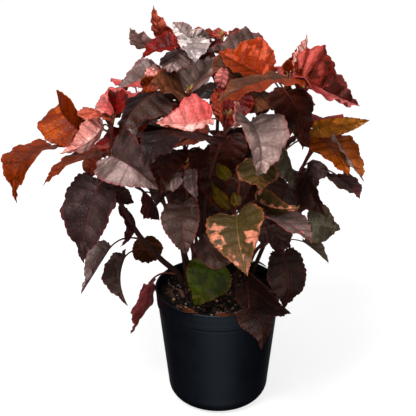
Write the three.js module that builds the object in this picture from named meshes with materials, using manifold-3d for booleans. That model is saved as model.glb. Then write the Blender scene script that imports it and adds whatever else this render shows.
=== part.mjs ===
// Potted copperleaf: a black nursery pot filled with soil, and thirteen leafy stems that stand in it.
// Millimetres, +Z up. The origin is the middle of the pot's foot, and the plant's best side faces -Y.
import * as THREE from 'three';
import { mergeVertices } from 'three/addons/utils/BufferGeometryUtils.js';
import Module from 'manifold-3d';

const wasm = await Module();
wasm.setup();

// Pot
const RIM_RADIUS = 100;
const POT_HEIGHT = 195;
const POT_WALL = 2.2;
const BAND_HEIGHT = 27;
const BAND_RADIUS = 97.5;
const NECK_RADIUS = 95.5;
const HEEL_RADIUS = 81;
const HEEL_HEIGHT = 26;
const HEEL_STEPS = 3;
const FOOT_RADIUS = 60;
const FLOOR_THICKNESS = 3.7;
const POT_SEGMENTS = 32;
const DRAIN_RADIUS = 6;
const DRAIN_RING = 44;
const DRAIN_COUNT = 4;

// Soil
const SOIL_TOP = 176;
const SOIL_SWELL = 2.2;
const SOIL_SEGMENTS = 20;
const SOIL_RINGS = [28, 56, 80];
const CHIP_COUNT = 5;
const FIT_GAP = 0.3;

// Leaves
const BLADE_THICKNESS = 0.8;
const WAVE_SHARE = 0.035;
const TOOTH_OUT = 1.05;
const TOOTH_IN = 0.97;
const STALK_SHARE = 0.42;
const STALK_EXTRA = 6;
const STALK_MOST = 48;
const STEM_SIDES = 5;
const STALK_SINK = 6;
const SMALL_LEAF = 66;
const LOWEST_LEAF = 188;

// The edge of one leaf half from its base to its drip tip: share of the length, share of the half width,
// and the place on the midrib that the vein to this point springs from
const EDGE = [
  [0, 0, 0], [-0.055, 0.22, 0], [-0.03, 0.62, 0], [0.12, 0.93, 1], [0.33, 0.99, 1],
  [0.55, 0.74, 2], [0.76, 0.36, 2], [0.9, 0.13, 2], [1, 0, 3],
];
// The same edge in fewer steps, for a small leaf, a far one and one deep in the crown
const SHORT_EDGE = [
  [0, 0, 0], [-0.055, 0.35, 0], [0.06, 0.84, 0], [0.33, 0.99, 1], [0.62, 0.62, 2], [0.86, 0.2, 2], [1, 0, 3],
];
const MIDRIB = [0, 0.25, 0.6, 1];
const WAVE_TURN = 16.8;

// The leafy stems. A route starts in the soil; radii are the stem's own, at its foot and at its bud.
// Leaves on the near side are set one by one: the blade's base and tip, the way its upper face looks,
// its width, the fold of its halves in degrees and its arch as a share of its length. Those deep in the
// crown are plain. Leaves on the far side are a place on the stem (share of its height), a compass turn in
// degrees from +X, and a length.
const STEMS = {
  left: {
    colour: '#4a2328',
    radii: [5.5, 2.2],
    route: [
      [-62, 42, 140], [-62, 42, 186], [-93, 25, 230], [-120, 0, 278], [-139, -28, 332],
      [-152, -48, 380], [-154, -58, 431], [-151, -66, 493],
    ],
    leaves: [
      { base: [-254, 4, 428], tip: [-298, -56, 362], facing: [-60, 55], wide: 88, fold: 10, arch: 0.26 },
      { base: [-196, -76, 482], tip: [-224, -2, 504], facing: [-55, 25], wide: 80, fold: 30, arch: 0.24 },
      { base: [-160, -96, 498], tip: [-218, -136, 474], facing: [45, -5], wide: 52, fold: -30, arch: 0.18 },
      { base: [-162, -108, 516], tip: [-192, -60, 512], facing: [125, 75],
        wide: 48, fold: -20, arch: 0.08 },
      { base: [-150, -70, 508], tip: [-166, -38, 520], facing: [-35, 45], wide: 20, fold: 45, arch: 0.16 },
      { base: [-146, -40, 498], tip: [-154, 22, 508], facing: [25, 65], wide: 40, fold: 45, arch: 0.1 },
      { base: [-168, -68, 446], tip: [-246, -122, 418], facing: [-95, 75], wide: 54, fold: 5, arch: 0.12 },
      { base: [-180, -48, 430], tip: [-192, -40, 400], facing: [-5, 0], wide: 28, fold: 10, arch: 0.26 },
      { base: [-148, -110, 458], tip: [-80, -160, 428], facing: [-20, 30], wide: 82, fold: 20, arch: 0.22 },
      { base: [-170, -96, 408], tip: [-196, -124, 298], facing: [-40, 20], wide: 100, fold: 10, arch: 0.1 },
      { base: [-158, -56, 382], tip: [-126, -38, 354], facing: [30, 15], wide: 30, fold: 35, arch: 0.08 },
      { base: [-164, -52, 286], tip: [-208, -74, 218], facing: [-75, 30], wide: 60, fold: 30, arch: 0 },
      { base: [-144, -26, 258], tip: [-138, -78, 200], facing: [-50, 10], wide: 56, fold: 40, arch: 0.12 },
      { base: [-110, -24, 206], tip: [-142, -10, 110], facing: [65, -5], wide: 70, fold: -5, arch: 0.06 },
      { base: [-118, 48, 254], tip: [-110, 74, 198], facing: [10, -10], wide: 54, fold: 25, arch: 0.1 },
      { base: [-142, 14, 322], tip: [-148, -48, 284], facing: [80, 10], wide: 54, fold: -35, arch: 0.26 },
      { base: [-98, -34, 476], tip: [-122, -62, 420], facing: [-30, 35],
        wide: 74, fold: 10, arch: 0.12, plain: true },
    ],
    far: [
      [0.74, 110, 98], [0.55, 120, 90],
    ],
  },
  inner: {
    colour: '#5a3034',
    radii: [3.6, 1.7],
    route: [
      [-50, 18, 140], [-50, 18, 186], [-59, -5, 277], [-78, -15, 329], [-87, -22, 385], [-81, -28, 435],
      [-65, -36, 488], [-43, -45, 530],
    ],
    leaves: [
      { base: [-112, 18, 348], tip: [-94, 52, 284], facing: [95, 15], wide: 68, fold: -35, arch: 0.08 },
      { base: [-56, -76, 510], tip: [-112, -124, 492], facing: [-85, 60], wide: 48, fold: -5, arch: 0.16 },
      { base: [-82, -78, 542], tip: [-134, -138, 494], facing: [-45, 60],
        wide: 84, fold: -20, arch: 0.18, stalk: 56 },
      { base: [-84, 10, 538], tip: [-144, -44, 534], facing: [35, 70], wide: 52, fold: 35, arch: 0.04 },
      { base: [-82, -20, 558], tip: [-106, -38, 552], facing: [85, 60], wide: 26, fold: -5, arch: 0.08 },
      { base: [-46, -54, 524], tip: [-94, -122, 568], facing: [90, 45], wide: 82, fold: 10, arch: 0.06 },
      { base: [-86, -50, 546], tip: [-108, -30, 536], facing: [-30, 5], wide: 26, fold: 25, arch: 0.26 },
      { base: [-40, -24, 524], tip: [-6, 38, 558], facing: [0, 60], wide: 72, fold: 45, arch: 0.02 },
      { base: [8, -58, 566], tip: [4, -48, 534], facing: [-10, -5], wide: 18, fold: 0, arch: 0.28 },
      { base: [-32, -54, 534], tip: [2, -100, 530], facing: [-95, 65], wide: 44, fold: -10, arch: 0.26 },
      { base: [-98, -50, 492], tip: [-134, -84, 464], facing: [-20, 45],
        wide: 66, fold: 10, arch: 0.12, plain: true },
      { base: [-70, -12, 400], tip: [-92, -40, 350], facing: [-25, 25],
        wide: 64, fold: 10, arch: 0.12, plain: true },
    ],
  },
  crown: {
    colour: '#8a4a3a',
    radii: [4.2, 1.9],
    route: [
      [-30, 32, 140], [-30, 32, 186], [-44, 22, 272], [-50, 22, 350], [-51, 18, 434], [-55, 8, 516],
      [-58, 0, 584],
    ],
    leaves: [
      { base: [-56, -8, 582], tip: [-68, -74, 568], facing: [-5, 65], wide: 48, fold: -25, arch: -0.02 },
      { base: [-38, 2, 594], tip: [-30, -56, 576], facing: [65, 85], wide: 48, fold: 10, arch: 0.04 },
      { base: [-44, 36, 588], tip: [-68, 70, 602], facing: [-35, 35], wide: 30, fold: 5, arch: 0.04 },
      { base: [-40, 18, 592], tip: [-10, 50, 576], facing: [55, 25], wide: 32, fold: 45, arch: 0.08 },
      { base: [-68, 100, 566], tip: [-96, 68, 628], facing: [-35, -5], wide: 50, fold: -10, arch: 0.18 },
      { base: [-80, 38, 576], tip: [-126, -16, 616], facing: [-10, -55], wide: 66, fold: -5, arch: 0.1 },
      { base: [-60, -32, 594], tip: [-110, -30, 574], facing: [15, 70], wide: 46, fold: 25, arch: 0.08 },
      { base: [-22, -16, 430], tip: [-2, -44, 360], facing: [10, 25],
        wide: 84, fold: 10, arch: 0.12, plain: true },
      { base: [-38, 10, 472], tip: [-72, -20, 432], facing: [-15, 40],
        wide: 80, fold: 10, arch: 0.12, plain: true },
      { base: [-30, -4, 382], tip: [-46, -24, 304], facing: [-10, 15],
        wide: 72, fold: 10, arch: 0.12, plain: true },
      { base: [-18, 10, 344], tip: [-22, -14, 270], facing: [5, 15],
        wide: 66, fold: 10, arch: 0.12, plain: true },
    ],
    far: [
      [0.82, 70, 86], [0.74, 120, 90],
    ],
  },
  heart: {
    colour: '#a05a58',
    radii: [4, 1.9],
    route: [
      [-18, 0, 140], [-18, 0, 186], [-18, -25, 278], [-19, -55, 359], [-7, -82, 433], [7, -100, 481],
      [14, -112, 516],
    ],
    leaves: [
      { base: [44, -146, 520], tip: [54, -182, 454], facing: [30, 25],
        wide: 78, fold: 30, arch: 0.28, stalk: 60 },
      { base: [30, -130, 536], tip: [20, -172, 520], facing: [65, 15], wide: 32, fold: -10, arch: 0.08 },
      { base: [-10, -132, 520], tip: [-84, -140, 516], facing: [35, 60], wide: 70, fold: 30, arch: -0.06 },
      { base: [6, -116, 518], tip: [-6, -144, 568], facing: [105, 25], wide: 42, fold: -30, arch: 0.08 },
      { base: [18, -80, 478], tip: [12, -66, 420], facing: [-5, 5], wide: 54, fold: 10, arch: 0.16 },
      { base: [-26, -114, 488], tip: [-100, -232, 490], facing: [-105, 85],
        wide: 122, fold: -5, arch: 0.18 },
      { base: [4, -62, 418], tip: [18, -92, 348], facing: [5, 20],
        wide: 74, fold: 10, arch: 0.12, plain: true },
      { base: [22, -60, 532], tip: [12, -84, 484], facing: [-10, 30],
        wide: 64, fold: 10, arch: 0.12, plain: true },
    ],
  },
  young: {
    colour: '#43262a',
    radii: [3.2, 1.5],
    route: [
      [-40, -14, 140], [-40, -14, 186], [-38, -50, 282], [-43, -78, 342], [-44, -100, 394],
      [-44, -130, 448],
    ],
    leaves: [
      { base: [-60, -98, 462], tip: [-78, -142, 410], facing: [-65, 65], wide: 66, fold: -10, arch: 0.22 },
      { base: [-52, -142, 440], tip: [-74, -124, 408], facing: [-60, 50], wide: 34, fold: -20, arch: 0.16 },
      { base: [-34, -160, 456], tip: [-28, -172, 416], facing: [-50, 0], wide: 34, fold: 15, arch: 0.06 },
      { base: [-50, -116, 388], tip: [-42, -140, 318], facing: [-15, 25], wide: 56, fold: 10, arch: 0.24 },
      { base: [-20, -90, 316], tip: [18, -86, 278], facing: [5, -5], wide: 48, fold: 45, arch: 0.26 },
      { base: [-8, -50, 258], tip: [-34, -66, 192], facing: [-5, 25], wide: 70, fold: 5, arch: 0.1 },
    ],
  },
  front: {
    colour: '#6d4a34',
    radii: [3.6, 1.5],
    route: [
      [6, -16, 140], [6, -16, 186], [12, -55, 276], [19, -90, 331], [25, -125, 385], [31, -125, 428],
    ],
    leaves: [
      { base: [26, -156, 386], tip: [40, -230, 332], facing: [-30, 50], wide: 86, fold: 20, arch: 0.12 },
      { base: [14, -134, 390], tip: [-10, -106, 418], facing: [0, 10], wide: 24, fold: -40, arch: 0.26 },
      { base: [26, -142, 398], tip: [22, -126, 410], facing: [0, 60], wide: 16, fold: 25, arch: 0.18 },
      { base: [56, -120, 458], tip: [58, -188, 440], facing: [30, 70], wide: 64, fold: -20, arch: 0 },
      { base: [54, -124, 396], tip: [112, -166, 404], facing: [-30, -15], wide: 44, fold: -25, arch: 0.1 },
      { base: [14, -132, 434], tip: [-2, -110, 446], facing: [-20, 40], wide: 20, fold: 30, arch: 0.1 },
    ],
  },
  high: {
    colour: '#9a3d2c',
    radii: [4.4, 2],
    route: [
      [28, 26, 140], [28, 26, 186], [47, 10, 270], [58, 0, 343], [71, -18, 424], [85, -34, 496],
      [99, -48, 549],
    ],
    leaves: [
      { base: [66, -56, 556], tip: [0, -8, 578], facing: [-20, 60], wide: 84, fold: 35, arch: 0.02 },
      { base: [96, -122, 572], tip: [-6, -212, 562], facing: [145, 80], wide: 74, fold: 0, arch: 0.1 },
      { base: [102, -40, 552], tip: [112, -20, 588], facing: [65, 5], wide: 38, fold: -25, arch: 0.06 },
      { base: [104, -108, 576], tip: [200, -66, 516], facing: [35, 55], wide: 98, fold: 30, arch: -0.04 },
      { base: [110, -58, 572], tip: [126, -10, 606], facing: [65, -10], wide: 34, fold: -30, arch: 0.1 },
      { base: [94, -60, 538], tip: [120, -92, 460], facing: [45, 30], wide: 78, fold: -10, arch: 0.14 },
      { base: [116, -14, 524], tip: [144, 8, 492], facing: [70, 45], wide: 40, fold: -5, arch: 0.06 },
      { base: [68, -38, 528], tip: [26, -78, 504], facing: [-10, 50],
        wide: 78, fold: 5, arch: 0.12, plain: true },
      { base: [48, -8, 392], tip: [42, -40, 318], facing: [0, 15],
        wide: 80, fold: 10, arch: 0.12, plain: true },
      { base: [32, -20, 564], tip: [8, -44, 522], facing: [-20, 45],
        wide: 70, fold: 10, arch: 0.12, plain: true },
      { base: [46, -24, 462], tip: [36, -50, 406], facing: [0, 25],
        wide: 70, fold: 10, arch: 0.12, plain: true },
    ],
    far: [
      [0.88, -10, 74], [0.86, 45, 90],
    ],
  },
  east: {
    colour: '#8f5324',
    radii: [4, 1.8],
    route: [
      [50, 20, 140], [50, 20, 186], [72, 5, 263], [95, -5, 325], [116, -18, 380], [132, -28, 424],
      [146, -35, 460],
    ],
    leaves: [
      { base: [140, -30, 470], tip: [222, -18, 478], facing: [10, 15], wide: 36, fold: 45, arch: 0.24 },
      { base: [158, -38, 456], tip: [182, -124, 434], facing: [60, 65], wide: 62, fold: -10, arch: 0.02 },
      { base: [170, -56, 464], tip: [208, -98, 414], facing: [80, 55], wide: 66, fold: 15, arch: 0 },
      { base: [134, -42, 420], tip: [168, -24, 392], facing: [30, -5], wide: 32, fold: 45, arch: 0.04 },
      { base: [174, -50, 404], tip: [202, -112, 394], facing: [115, 80], wide: 50, fold: 5, arch: 0 },
      { base: [130, -56, 412], tip: [156, -106, 364], facing: [-60, 5], wide: 64, fold: 15, arch: 0.1 },
      { base: [94, -94, 460], tip: [110, -68, 390], facing: [75, 10], wide: 62, fold: -25, arch: 0.06 },
      { base: [104, -30, 382], tip: [80, -62, 324], facing: [5, 25],
        wide: 80, fold: 10, arch: 0.12, plain: true },
      { base: [80, -14, 336], tip: [68, -36, 278], facing: [0, 20],
        wide: 60, fold: 10, arch: 0.12, plain: true },
    ],
    far: [
      [0.89, 70, 80], [0.66, 30, 90], [0.45, 75, 92],
    ],
  },
  low: {
    colour: '#3a2226',
    radii: [3.6, 1.6],
    route: [
      [38, -12, 140], [38, -12, 186], [52, -38, 262], [66, -60, 297], [85, -78, 329], [107, -88, 359],
    ],
    leaves: [
      { base: [68, -130, 372], tip: [128, -208, 370], facing: [150, 75], wide: 84, fold: 10, arch: 0.08 },
      { base: [132, -88, 348], tip: [182, -64, 324], facing: [35, 10], wide: 62, fold: -15, arch: 0.12 },
      { base: [130, -60, 300], tip: [164, -90, 280], facing: [75, 50], wide: 36, fold: 30, arch: 0.02 },
      { base: [72, -96, 340], tip: [108, -56, 288], facing: [35, -5], wide: 48, fold: 40, arch: 0.02 },
      { base: [96, -114, 308], tip: [96, -126, 224], facing: [20, 15], wide: 60, fold: -5, arch: 0.28 },
      { base: [46, -44, 222], tip: [112, -70, 182], facing: [-10, 15], wide: 68, fold: 45, arch: 0.18 },
      { base: [46, -122, 222], tip: [62, -168, 178], facing: [35, 55], wide: 60, fold: -20, arch: 0.28 },
    ],
  },
  backleft: {
    colour: '#4a2a2a',
    radii: [4.2, 1.8],
    route: [
      [-46, 56, 140], [-46, 56, 186], [-66, 76, 260], [-92, 98, 340], [-116, 114, 410],
      [-128, 122, 462],
    ],
    leaves: [],
    far: [
      [0.88, 105, 66], [0.98, 25, 64], [0.91, 220, 74], [0.92, 110, 82], [0.82, 175, 92],
      [0.77, 35, 86], [0.7, 130, 98], [0.62, 200, 104], [0.59, 90, 100], [0.42, 150, 98],
    ],
  },
  backmid: {
    colour: '#58302c',
    radii: [4.4, 1.9],
    route: [
      [-8, 62, 140], [-8, 62, 186], [-4, 82, 280], [-2, 104, 390], [2, 112, 490], [6, 104, 568],
    ],
    leaves: [
      { base: [70, 38, 560], tip: [-20, 0, 580], facing: [60, 65], wide: 82, fold: 35, arch: -0.06 },
    ],
    far: [
      [0.92, -20, 62], [0.96, 190, 62], [0.89, 120, 78], [0.76, 50, 78], [0.82, 130, 92],
      [0.76, 140, 94], [0.68, 110, 100], [0.58, 85, 104],
    ],
  },
  backright: {
    colour: '#4a2a2a',
    radii: [4.2, 1.8],
    route: [
      [48, 58, 140], [48, 58, 186], [64, 76, 260], [90, 96, 340], [116, 106, 420], [132, 106, 478],
    ],
    leaves: [],
    far: [
      [1, 45, 60], [0.88, 100, 60], [1, -45, 80], [0.99, 120, 84], [0.89, 35, 82], [0.76, 120, 88],
      [0.66, 30, 90], [0.62, -25, 104], [0.55, 90, 100], [0.42, 40, 98],
    ],
  },
  backlow: {
    colour: '#3a2024',
    radii: [3.6, 1.6],
    route: [
      [-30, 76, 140], [-30, 76, 186], [-40, 108, 250], [-52, 148, 320], [-58, 178, 390],
      [-60, 192, 440],
    ],
    leaves: [],
    far: [
      [1, 90, 68], [1, 145, 82], [0.96, 160, 76], [0.8, 90, 96], [0.7, 130, 100], [0.6, 50, 98],
      [0.45, 110, 98],
    ],
  },
};

const UP = new THREE.Vector3(0, 0, 1);
const vec = ([x, y, z]) => new THREE.Vector3(x, y, z);
const radians = THREE.MathUtils.degToRad;

// The direction that a blade's upper face looks: degrees round from -Y towards +X, and degrees up
function facingVector([around, up]) {
  const a = radians(around);
  const u = radians(up);
  return new THREE.Vector3(Math.cos(u) * Math.sin(a), -Math.cos(u) * Math.cos(a), Math.sin(u));
}

// A smooth line through hand-set points, sampled at even steps
function smoothLine(points, steps) {
  const last = points.length - 1;
  const line = [];
  for (let s = 0; s <= steps; s += 1) {
    const place = (s / steps) * last;
    const i = Math.min(Math.floor(place), last - 1);
    const t = place - i;
    const p0 = points[Math.max(i - 1, 0)];
    const p1 = points[i];
    const p2 = points[i + 1];
    const p3 = points[Math.min(i + 2, last)];
    const weight = [
      -0.5 * t + t * t - 0.5 * t ** 3,
      1 - 2.5 * t * t + 1.5 * t ** 3,
      0.5 * t + 2 * t * t - 1.5 * t ** 3,
      -0.5 * t * t + 0.5 * t ** 3,
    ];
    const point = new THREE.Vector3();
    [p0, p1, p2, p3].forEach((p, k) => point.addScaledVector(p, weight[k]));
    line.push(point);
  }
  return line;
}

function direction(line, i) {
  const ahead = line[Math.min(i + 1, line.length - 1)];
  const behind = line[Math.max(i - 1, 0)];
  return ahead.clone().sub(behind).normalize();
}

// A closed solid from corner points and triangles
function solid(corners, triangles) {
  const mesh = new wasm.Mesh({
    numProp: 3,
    vertProperties: new Float32Array(corners.flatMap((p) => [p.x, p.y, p.z])),
    triVerts: new Uint32Array(triangles.flat()),
  });
  return new wasm.Manifold(mesh);
}

function solidFromGeometry(geometry) {
  geometry.deleteAttribute('normal');
  geometry.deleteAttribute('uv');
  const merged = mergeVertices(geometry, 1e-4);
  const mesh = new wasm.Mesh({
    numProp: 3,
    vertProperties: new Float32Array(merged.attributes.position.array),
    triVerts: new Uint32Array(merged.index.array),
  });
  return new wasm.Manifold(mesh);
}

// The one body that fusing leaves: a pocket that it sealed is filled, and a crumb is dropped
function outerBody(body) {
  return body.decompose().reduce((a, b) => (a.volume() > b.volume() ? a : b));
}

// A tapering twig along a line, closed at both ends
function twig(line, radii, sides) {
  const corners = [];
  const triangles = [];
  const start = direction(line, 0);
  const across = new THREE.Vector3(1, 0, 0);
  if (Math.abs(start.x) >= 0.9) across.set(0, 1, 0);
  line.forEach((point, i) => {
    const ahead = direction(line, i);
    across.addScaledVector(ahead, -across.dot(ahead)).normalize();
    const side = ahead.clone().cross(across);
    for (let k = 0; k < sides; k += 1) {
      const turn = (2 * Math.PI * k) / sides;
      corners.push(point.clone()
        .addScaledVector(across, radii[i] * Math.cos(turn))
        .addScaledVector(side, radii[i] * Math.sin(turn)));
    }
  });
  for (let i = 0; i < line.length - 1; i += 1) {
    for (let k = 0; k < sides; k += 1) {
      const a = i * sides + k;
      const b = i * sides + ((k + 1) % sides);
      triangles.push([a, b, b + sides], [a, b + sides, a + sides]);
    }
  }
  const end = (line.length - 1) * sides;
  for (let k = 1; k < sides - 1; k += 1) {
    triangles.push([0, k + 1, k], [end, end + k, end + k + 1]);
  }
  return solid(corners, triangles);
}

// A blade's own frame: along it, out of its upper face, and across it
function leafFrame(leaf) {
  const base = vec(leaf.base);
  const along = vec(leaf.tip).sub(base);
  const length = along.length();
  along.normalize();
  const out = leaf.face.clone().addScaledVector(along, -leaf.face.dot(along)).normalize();
  const across = out.clone().cross(along);
  return { base, along, length, out, across };
}

// A point of the blade's middle surface and the surface's normal there
function leafPoint(leaf, frame, place, halfWidth, side, wave) {
  const fold = radians(leaf.fold);
  const slope = leaf.arch * 4 * (1 - 2 * place);
  const normal = frame.out.clone().addScaledVector(frame.along, -slope).normalize();
  const lift = leaf.arch * frame.length * 4 * place * (1 - place);
  const point = frame.base.clone()
    .addScaledVector(frame.along, frame.length * place)
    .addScaledVector(frame.out, lift)
    .addScaledVector(frame.across, side * halfWidth * Math.cos(fold))
    .addScaledVector(normal, halfWidth * Math.sin(fold) + wave);
  const tilted = normal.clone();
  if (halfWidth > 0) {
    tilted.multiplyScalar(Math.cos(fold)).addScaledVector(frame.across, -side * Math.sin(fold));
  }
  return { point, normal: tilted.normalize() };
}

// How far the margin waves up or down at one share of the way from the base to the tip
function marginWave(leaf, share, side) {
  const phase = 0.1 * (leaf.base[0] + leaf.base[2]);
  const fade = share < 0.2 || share > 0.8 ? 0.4 : 1;
  return WAVE_SHARE * leaf.wide * Math.sin(WAVE_TURN * share + side + phase) * fade;
}

// Where leaves may spring from a stem: the points of its line, and halfway between them
function leafPlaces(line) {
  return line.flatMap((point, i) => (i === 0 ? [point] : [line[i - 1].clone().lerp(point, 0.5), point]));
}

// A small leaf, a far one and one deep in the crown are made in fewer steps
function isPlain(leaf, frame) {
  return leaf.plain === true || frame.length < SMALL_LEAF;
}

// The line of a leaf stalk: it leaves the stem below the blade and ends at the blade's base
function stalkLine(leaf, frame, stemLine) {
  const reach = leaf.stalk ?? Math.min(STALK_SHARE * frame.length + STALK_EXTRA, STALK_MOST);
  const free = stemLine.map((point, i) => ({ point, i })).filter(({ point }) => point.z > LOWEST_LEAF);
  const nearest = Math.min(...free.map(({ point }) => point.distanceTo(frame.base)));
  const wanted = Math.max(reach, nearest);
  const unfit = ({ point }) => {
    const drop = frame.base.z - point.z;
    const miss = Math.abs(point.distanceTo(frame.base) - wanted);
    return miss + 1.2 * Math.max(0, 0.1 * reach - drop);
  };
  const root = free.reduce((best, at) => (unfit(at) < unfit(best) ? at : best));
  const stemward = direction(stemLine, root.i);
  const start = root.point.clone().addScaledVector(stemward, -STALK_SINK);
  const span = frame.base.distanceTo(start);
  const bend = start.clone()
    .addScaledVector(frame.base.clone().sub(start).normalize(), 0.45 * span)
    .addScaledVector(stemward, 0.25 * span)
    .addScaledVector(UP, 0.1 * span);
  const steps = isPlain(leaf, frame) ? [0, 0.15, 0.93] : [0, 0.1, 0.55, 0.95];
  return steps.map((t) => start.clone().multiplyScalar((1 - t) ** 2)
    .addScaledVector(bend, 2 * t * (1 - t))
    .addScaledVector(frame.base, t * t));
}

// One leaf: a heart-shaped sheet with a toothed, waved margin and a drawn-out tip, on its stalk
function leafSolid(leaf, stemLine) {
  const frame = leafFrame(leaf);
  const line = stalkLine(leaf, frame, stemLine);
  const stalkRadius = THREE.MathUtils.clamp(0.014 * frame.length + 0.3, 1, 1.6);
  const points = [];
  const normals = [];
  const add = (place, halfWidth, side, wave) => {
    const at = leafPoint(leaf, frame, place, halfWidth, side, wave);
    points.push(at.point);
    normals.push(at.normal);
    return points.length - 1;
  };
  const form = isPlain(leaf, frame) ? SHORT_EDGE : EDGE;
  const last = form.length - 1;
  const midrib = MIDRIB.map((place) => (place === 0 ? null : add(place, 0, 1, 0)));
  const edges = [1, -1].map((side) => form.map(([place, share], k) => {
    if (k === 0) return add(0, stalkRadius, side, 0);
    if (k === last) return midrib[midrib.length - 1];
    const tooth = k % 2 === 1 ? TOOTH_OUT : TOOTH_IN;
    const halfWidth = (share * tooth * leaf.wide) / 2;
    return add(place, halfWidth, side, marginWave(leaf, k / last, side));
  }));
  const [left, right] = edges;
  const upper = [[left[0], right[0], midrib[1]]];
  edges.forEach((edge) => {
    const spring = (k) => midrib[form[k][2]] ?? edge[0];
    for (let k = 0; k < last; k += 1) {
      const pair = [[spring(k), edge[k], edge[k + 1]], [spring(k), edge[k + 1], spring(k + 1)]];
      pair.filter((corners) => new Set(corners).size === 3).forEach(([a, b, c]) => {
        upper.push(edge === left ? [c, b, a] : [a, b, c]);
      });
    }
  });
  const count = points.length;
  const shifted = (amount) => points.map((p, i) => p.clone().addScaledVector(normals[i], amount));
  const corners = [...shifted(BLADE_THICKNESS / 2), ...shifted(-BLADE_THICKNESS / 2)];
  const triangles = [...upper, ...upper.map(([a, b, c]) => [a + count, c + count, b + count])];
  const outline = [...left, ...right.slice(0, -1).reverse()];
  for (let i = 0; i < outline.length - 1; i += 1) {
    const [a, b] = [outline[i], outline[i + 1]];
    triangles.push([a, b, b + count], [a, b + count, a + count]);
  }
  const across = frame.across.clone();
  let ring = [left[0], right[0], right[0] + count, left[0] + count];
  for (let i = line.length - 1; i > 0; i -= 1) {
    const ahead = direction(line, i);
    across.addScaledVector(ahead, -across.dot(ahead)).normalize();
    const out = ahead.clone().cross(across);
    const first = corners.length;
    [[1, 1], [-1, 1], [-1, -1], [1, -1]].forEach(([a, b]) => {
      corners.push(line[i].clone()
        .addScaledVector(across, a * stalkRadius)
        .addScaledVector(out, b * stalkRadius));
    });
    const behind = [first, first + 1, first + 2, first + 3];
    behind.forEach((corner, k) => {
      const n = (k + 1) % 4;
      triangles.push([corner, behind[n], ring[n]], [corner, ring[n], ring[k]]);
    });
    ring = behind;
  }
  const root = corners.push(line[0]) - 1;
  ring.forEach((corner, k) => triangles.push([root, ring[(k + 1) % 4], corner]));
  return solid(corners, triangles);
}

// A leaf on the far side: it follows its stem's height, its compass turn and its length
function farLeaf(stemLine, [share, around, length]) {
  const firstFree = stemLine.findIndex((point) => point.z >= LOWEST_LEAF);
  const i = Math.min(firstFree + Math.round((stemLine.length - 1 - firstFree) * share), stemLine.length - 1);
  const turn = radians(around);
  const outward = new THREE.Vector3(Math.cos(turn), Math.sin(turn), 0);
  const rise = radians(25 + 35 * share);
  const droop = radians(62 - 42 * share);
  const reach = STALK_SHARE * length;
  const base = stemLine[i].clone()
    .addScaledVector(outward, reach * Math.cos(rise))
    .addScaledVector(UP, reach * Math.sin(rise));
  const tip = base.clone()
    .addScaledVector(outward, length * Math.cos(droop))
    .addScaledVector(UP, -length * Math.sin(droop));
  const face = outward.clone().multiplyScalar(Math.sin(droop)).addScaledVector(UP, Math.cos(droop));
  return {
    base: base.toArray(), tip: tip.toArray(), face, wide: 0.8 * length, fold: 10, arch: 0.14, plain: true,
  };
}

function stemForm({ route, radii: [thick, thin] }) {
  const line = smoothLine(route.map(vec), 2 * (route.length - 1));
  const radii = line.map((_, i) => THREE.MathUtils.lerp(thick, thin, i / (line.length - 1)));
  return { line, radii };
}

function leafyStem(stem) {
  const { line, radii } = stemForm(stem);
  const places = leafPlaces(line);
  const seen = stem.leaves.map((leaf) => ({ ...leaf, face: facingVector(leaf.facing) }));
  const far = (stem.far ?? []).map((place) => farLeaf(places, place));
  let body = twig(line, radii, STEM_SIDES);
  [...seen, ...far].forEach((leaf) => {
    body = body.add(leafSolid(leaf, places));
  });
  return outerBody(body);
}

// One face of the pot's wall, from the edge of its foot round the heel and up to its rim
function wallFace(inset, footHeight) {
  const heel = [];
  for (let k = 0; k <= HEEL_STEPS; k += 1) {
    const turn = (Math.PI * k) / (2 * HEEL_STEPS);
    heel.push([
      FOOT_RADIUS + (HEEL_RADIUS - inset - FOOT_RADIUS) * Math.sin(turn),
      footHeight + (HEEL_HEIGHT - footHeight) * (1 - Math.cos(turn)),
    ]);
  }
  return [
    ...heel, [NECK_RADIUS - inset, POT_HEIGHT - BAND_HEIGHT - 4],
    [BAND_RADIUS - inset, POT_HEIGHT - BAND_HEIGHT], [RIM_RADIUS - inset, POT_HEIGHT],
  ];
}

function pot() {
  const outside = wallFace(0, 0);
  const inside = wallFace(POT_WALL, FLOOR_THICKNESS).reverse();
  const section = [[0, 0], ...outside, ...inside, [0, FLOOR_THICKNESS]];
  const lathe = new THREE.LatheGeometry(section.map(([r, z]) => new THREE.Vector2(r, z)), POT_SEGMENTS);
  lathe.rotateX(Math.PI / 2);
  let body = solidFromGeometry(lathe);
  for (let k = 0; k < DRAIN_COUNT; k += 1) {
    const turn = (2 * Math.PI * (k + 0.5)) / DRAIN_COUNT;
    const hole = new THREE.CylinderGeometry(DRAIN_RADIUS, DRAIN_RADIUS, 12, 8);
    hole.rotateX(Math.PI / 2);
    hole.translate(DRAIN_RING * Math.cos(turn), DRAIN_RING * Math.sin(turn), 0);
    body = body.subtract(solidFromGeometry(hole));
  }
  return body;
}

// How high the soil lies at a point: low mounds, and a little higher round the stems
function soilHeight(x, y) {
  const mounds = Math.sin(x * 0.085 + 1) * Math.cos(y * 0.11) + 0.5 * Math.sin(x * 0.21 - y * 0.17);
  return SOIL_TOP + SOIL_SWELL * mounds;
}

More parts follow.
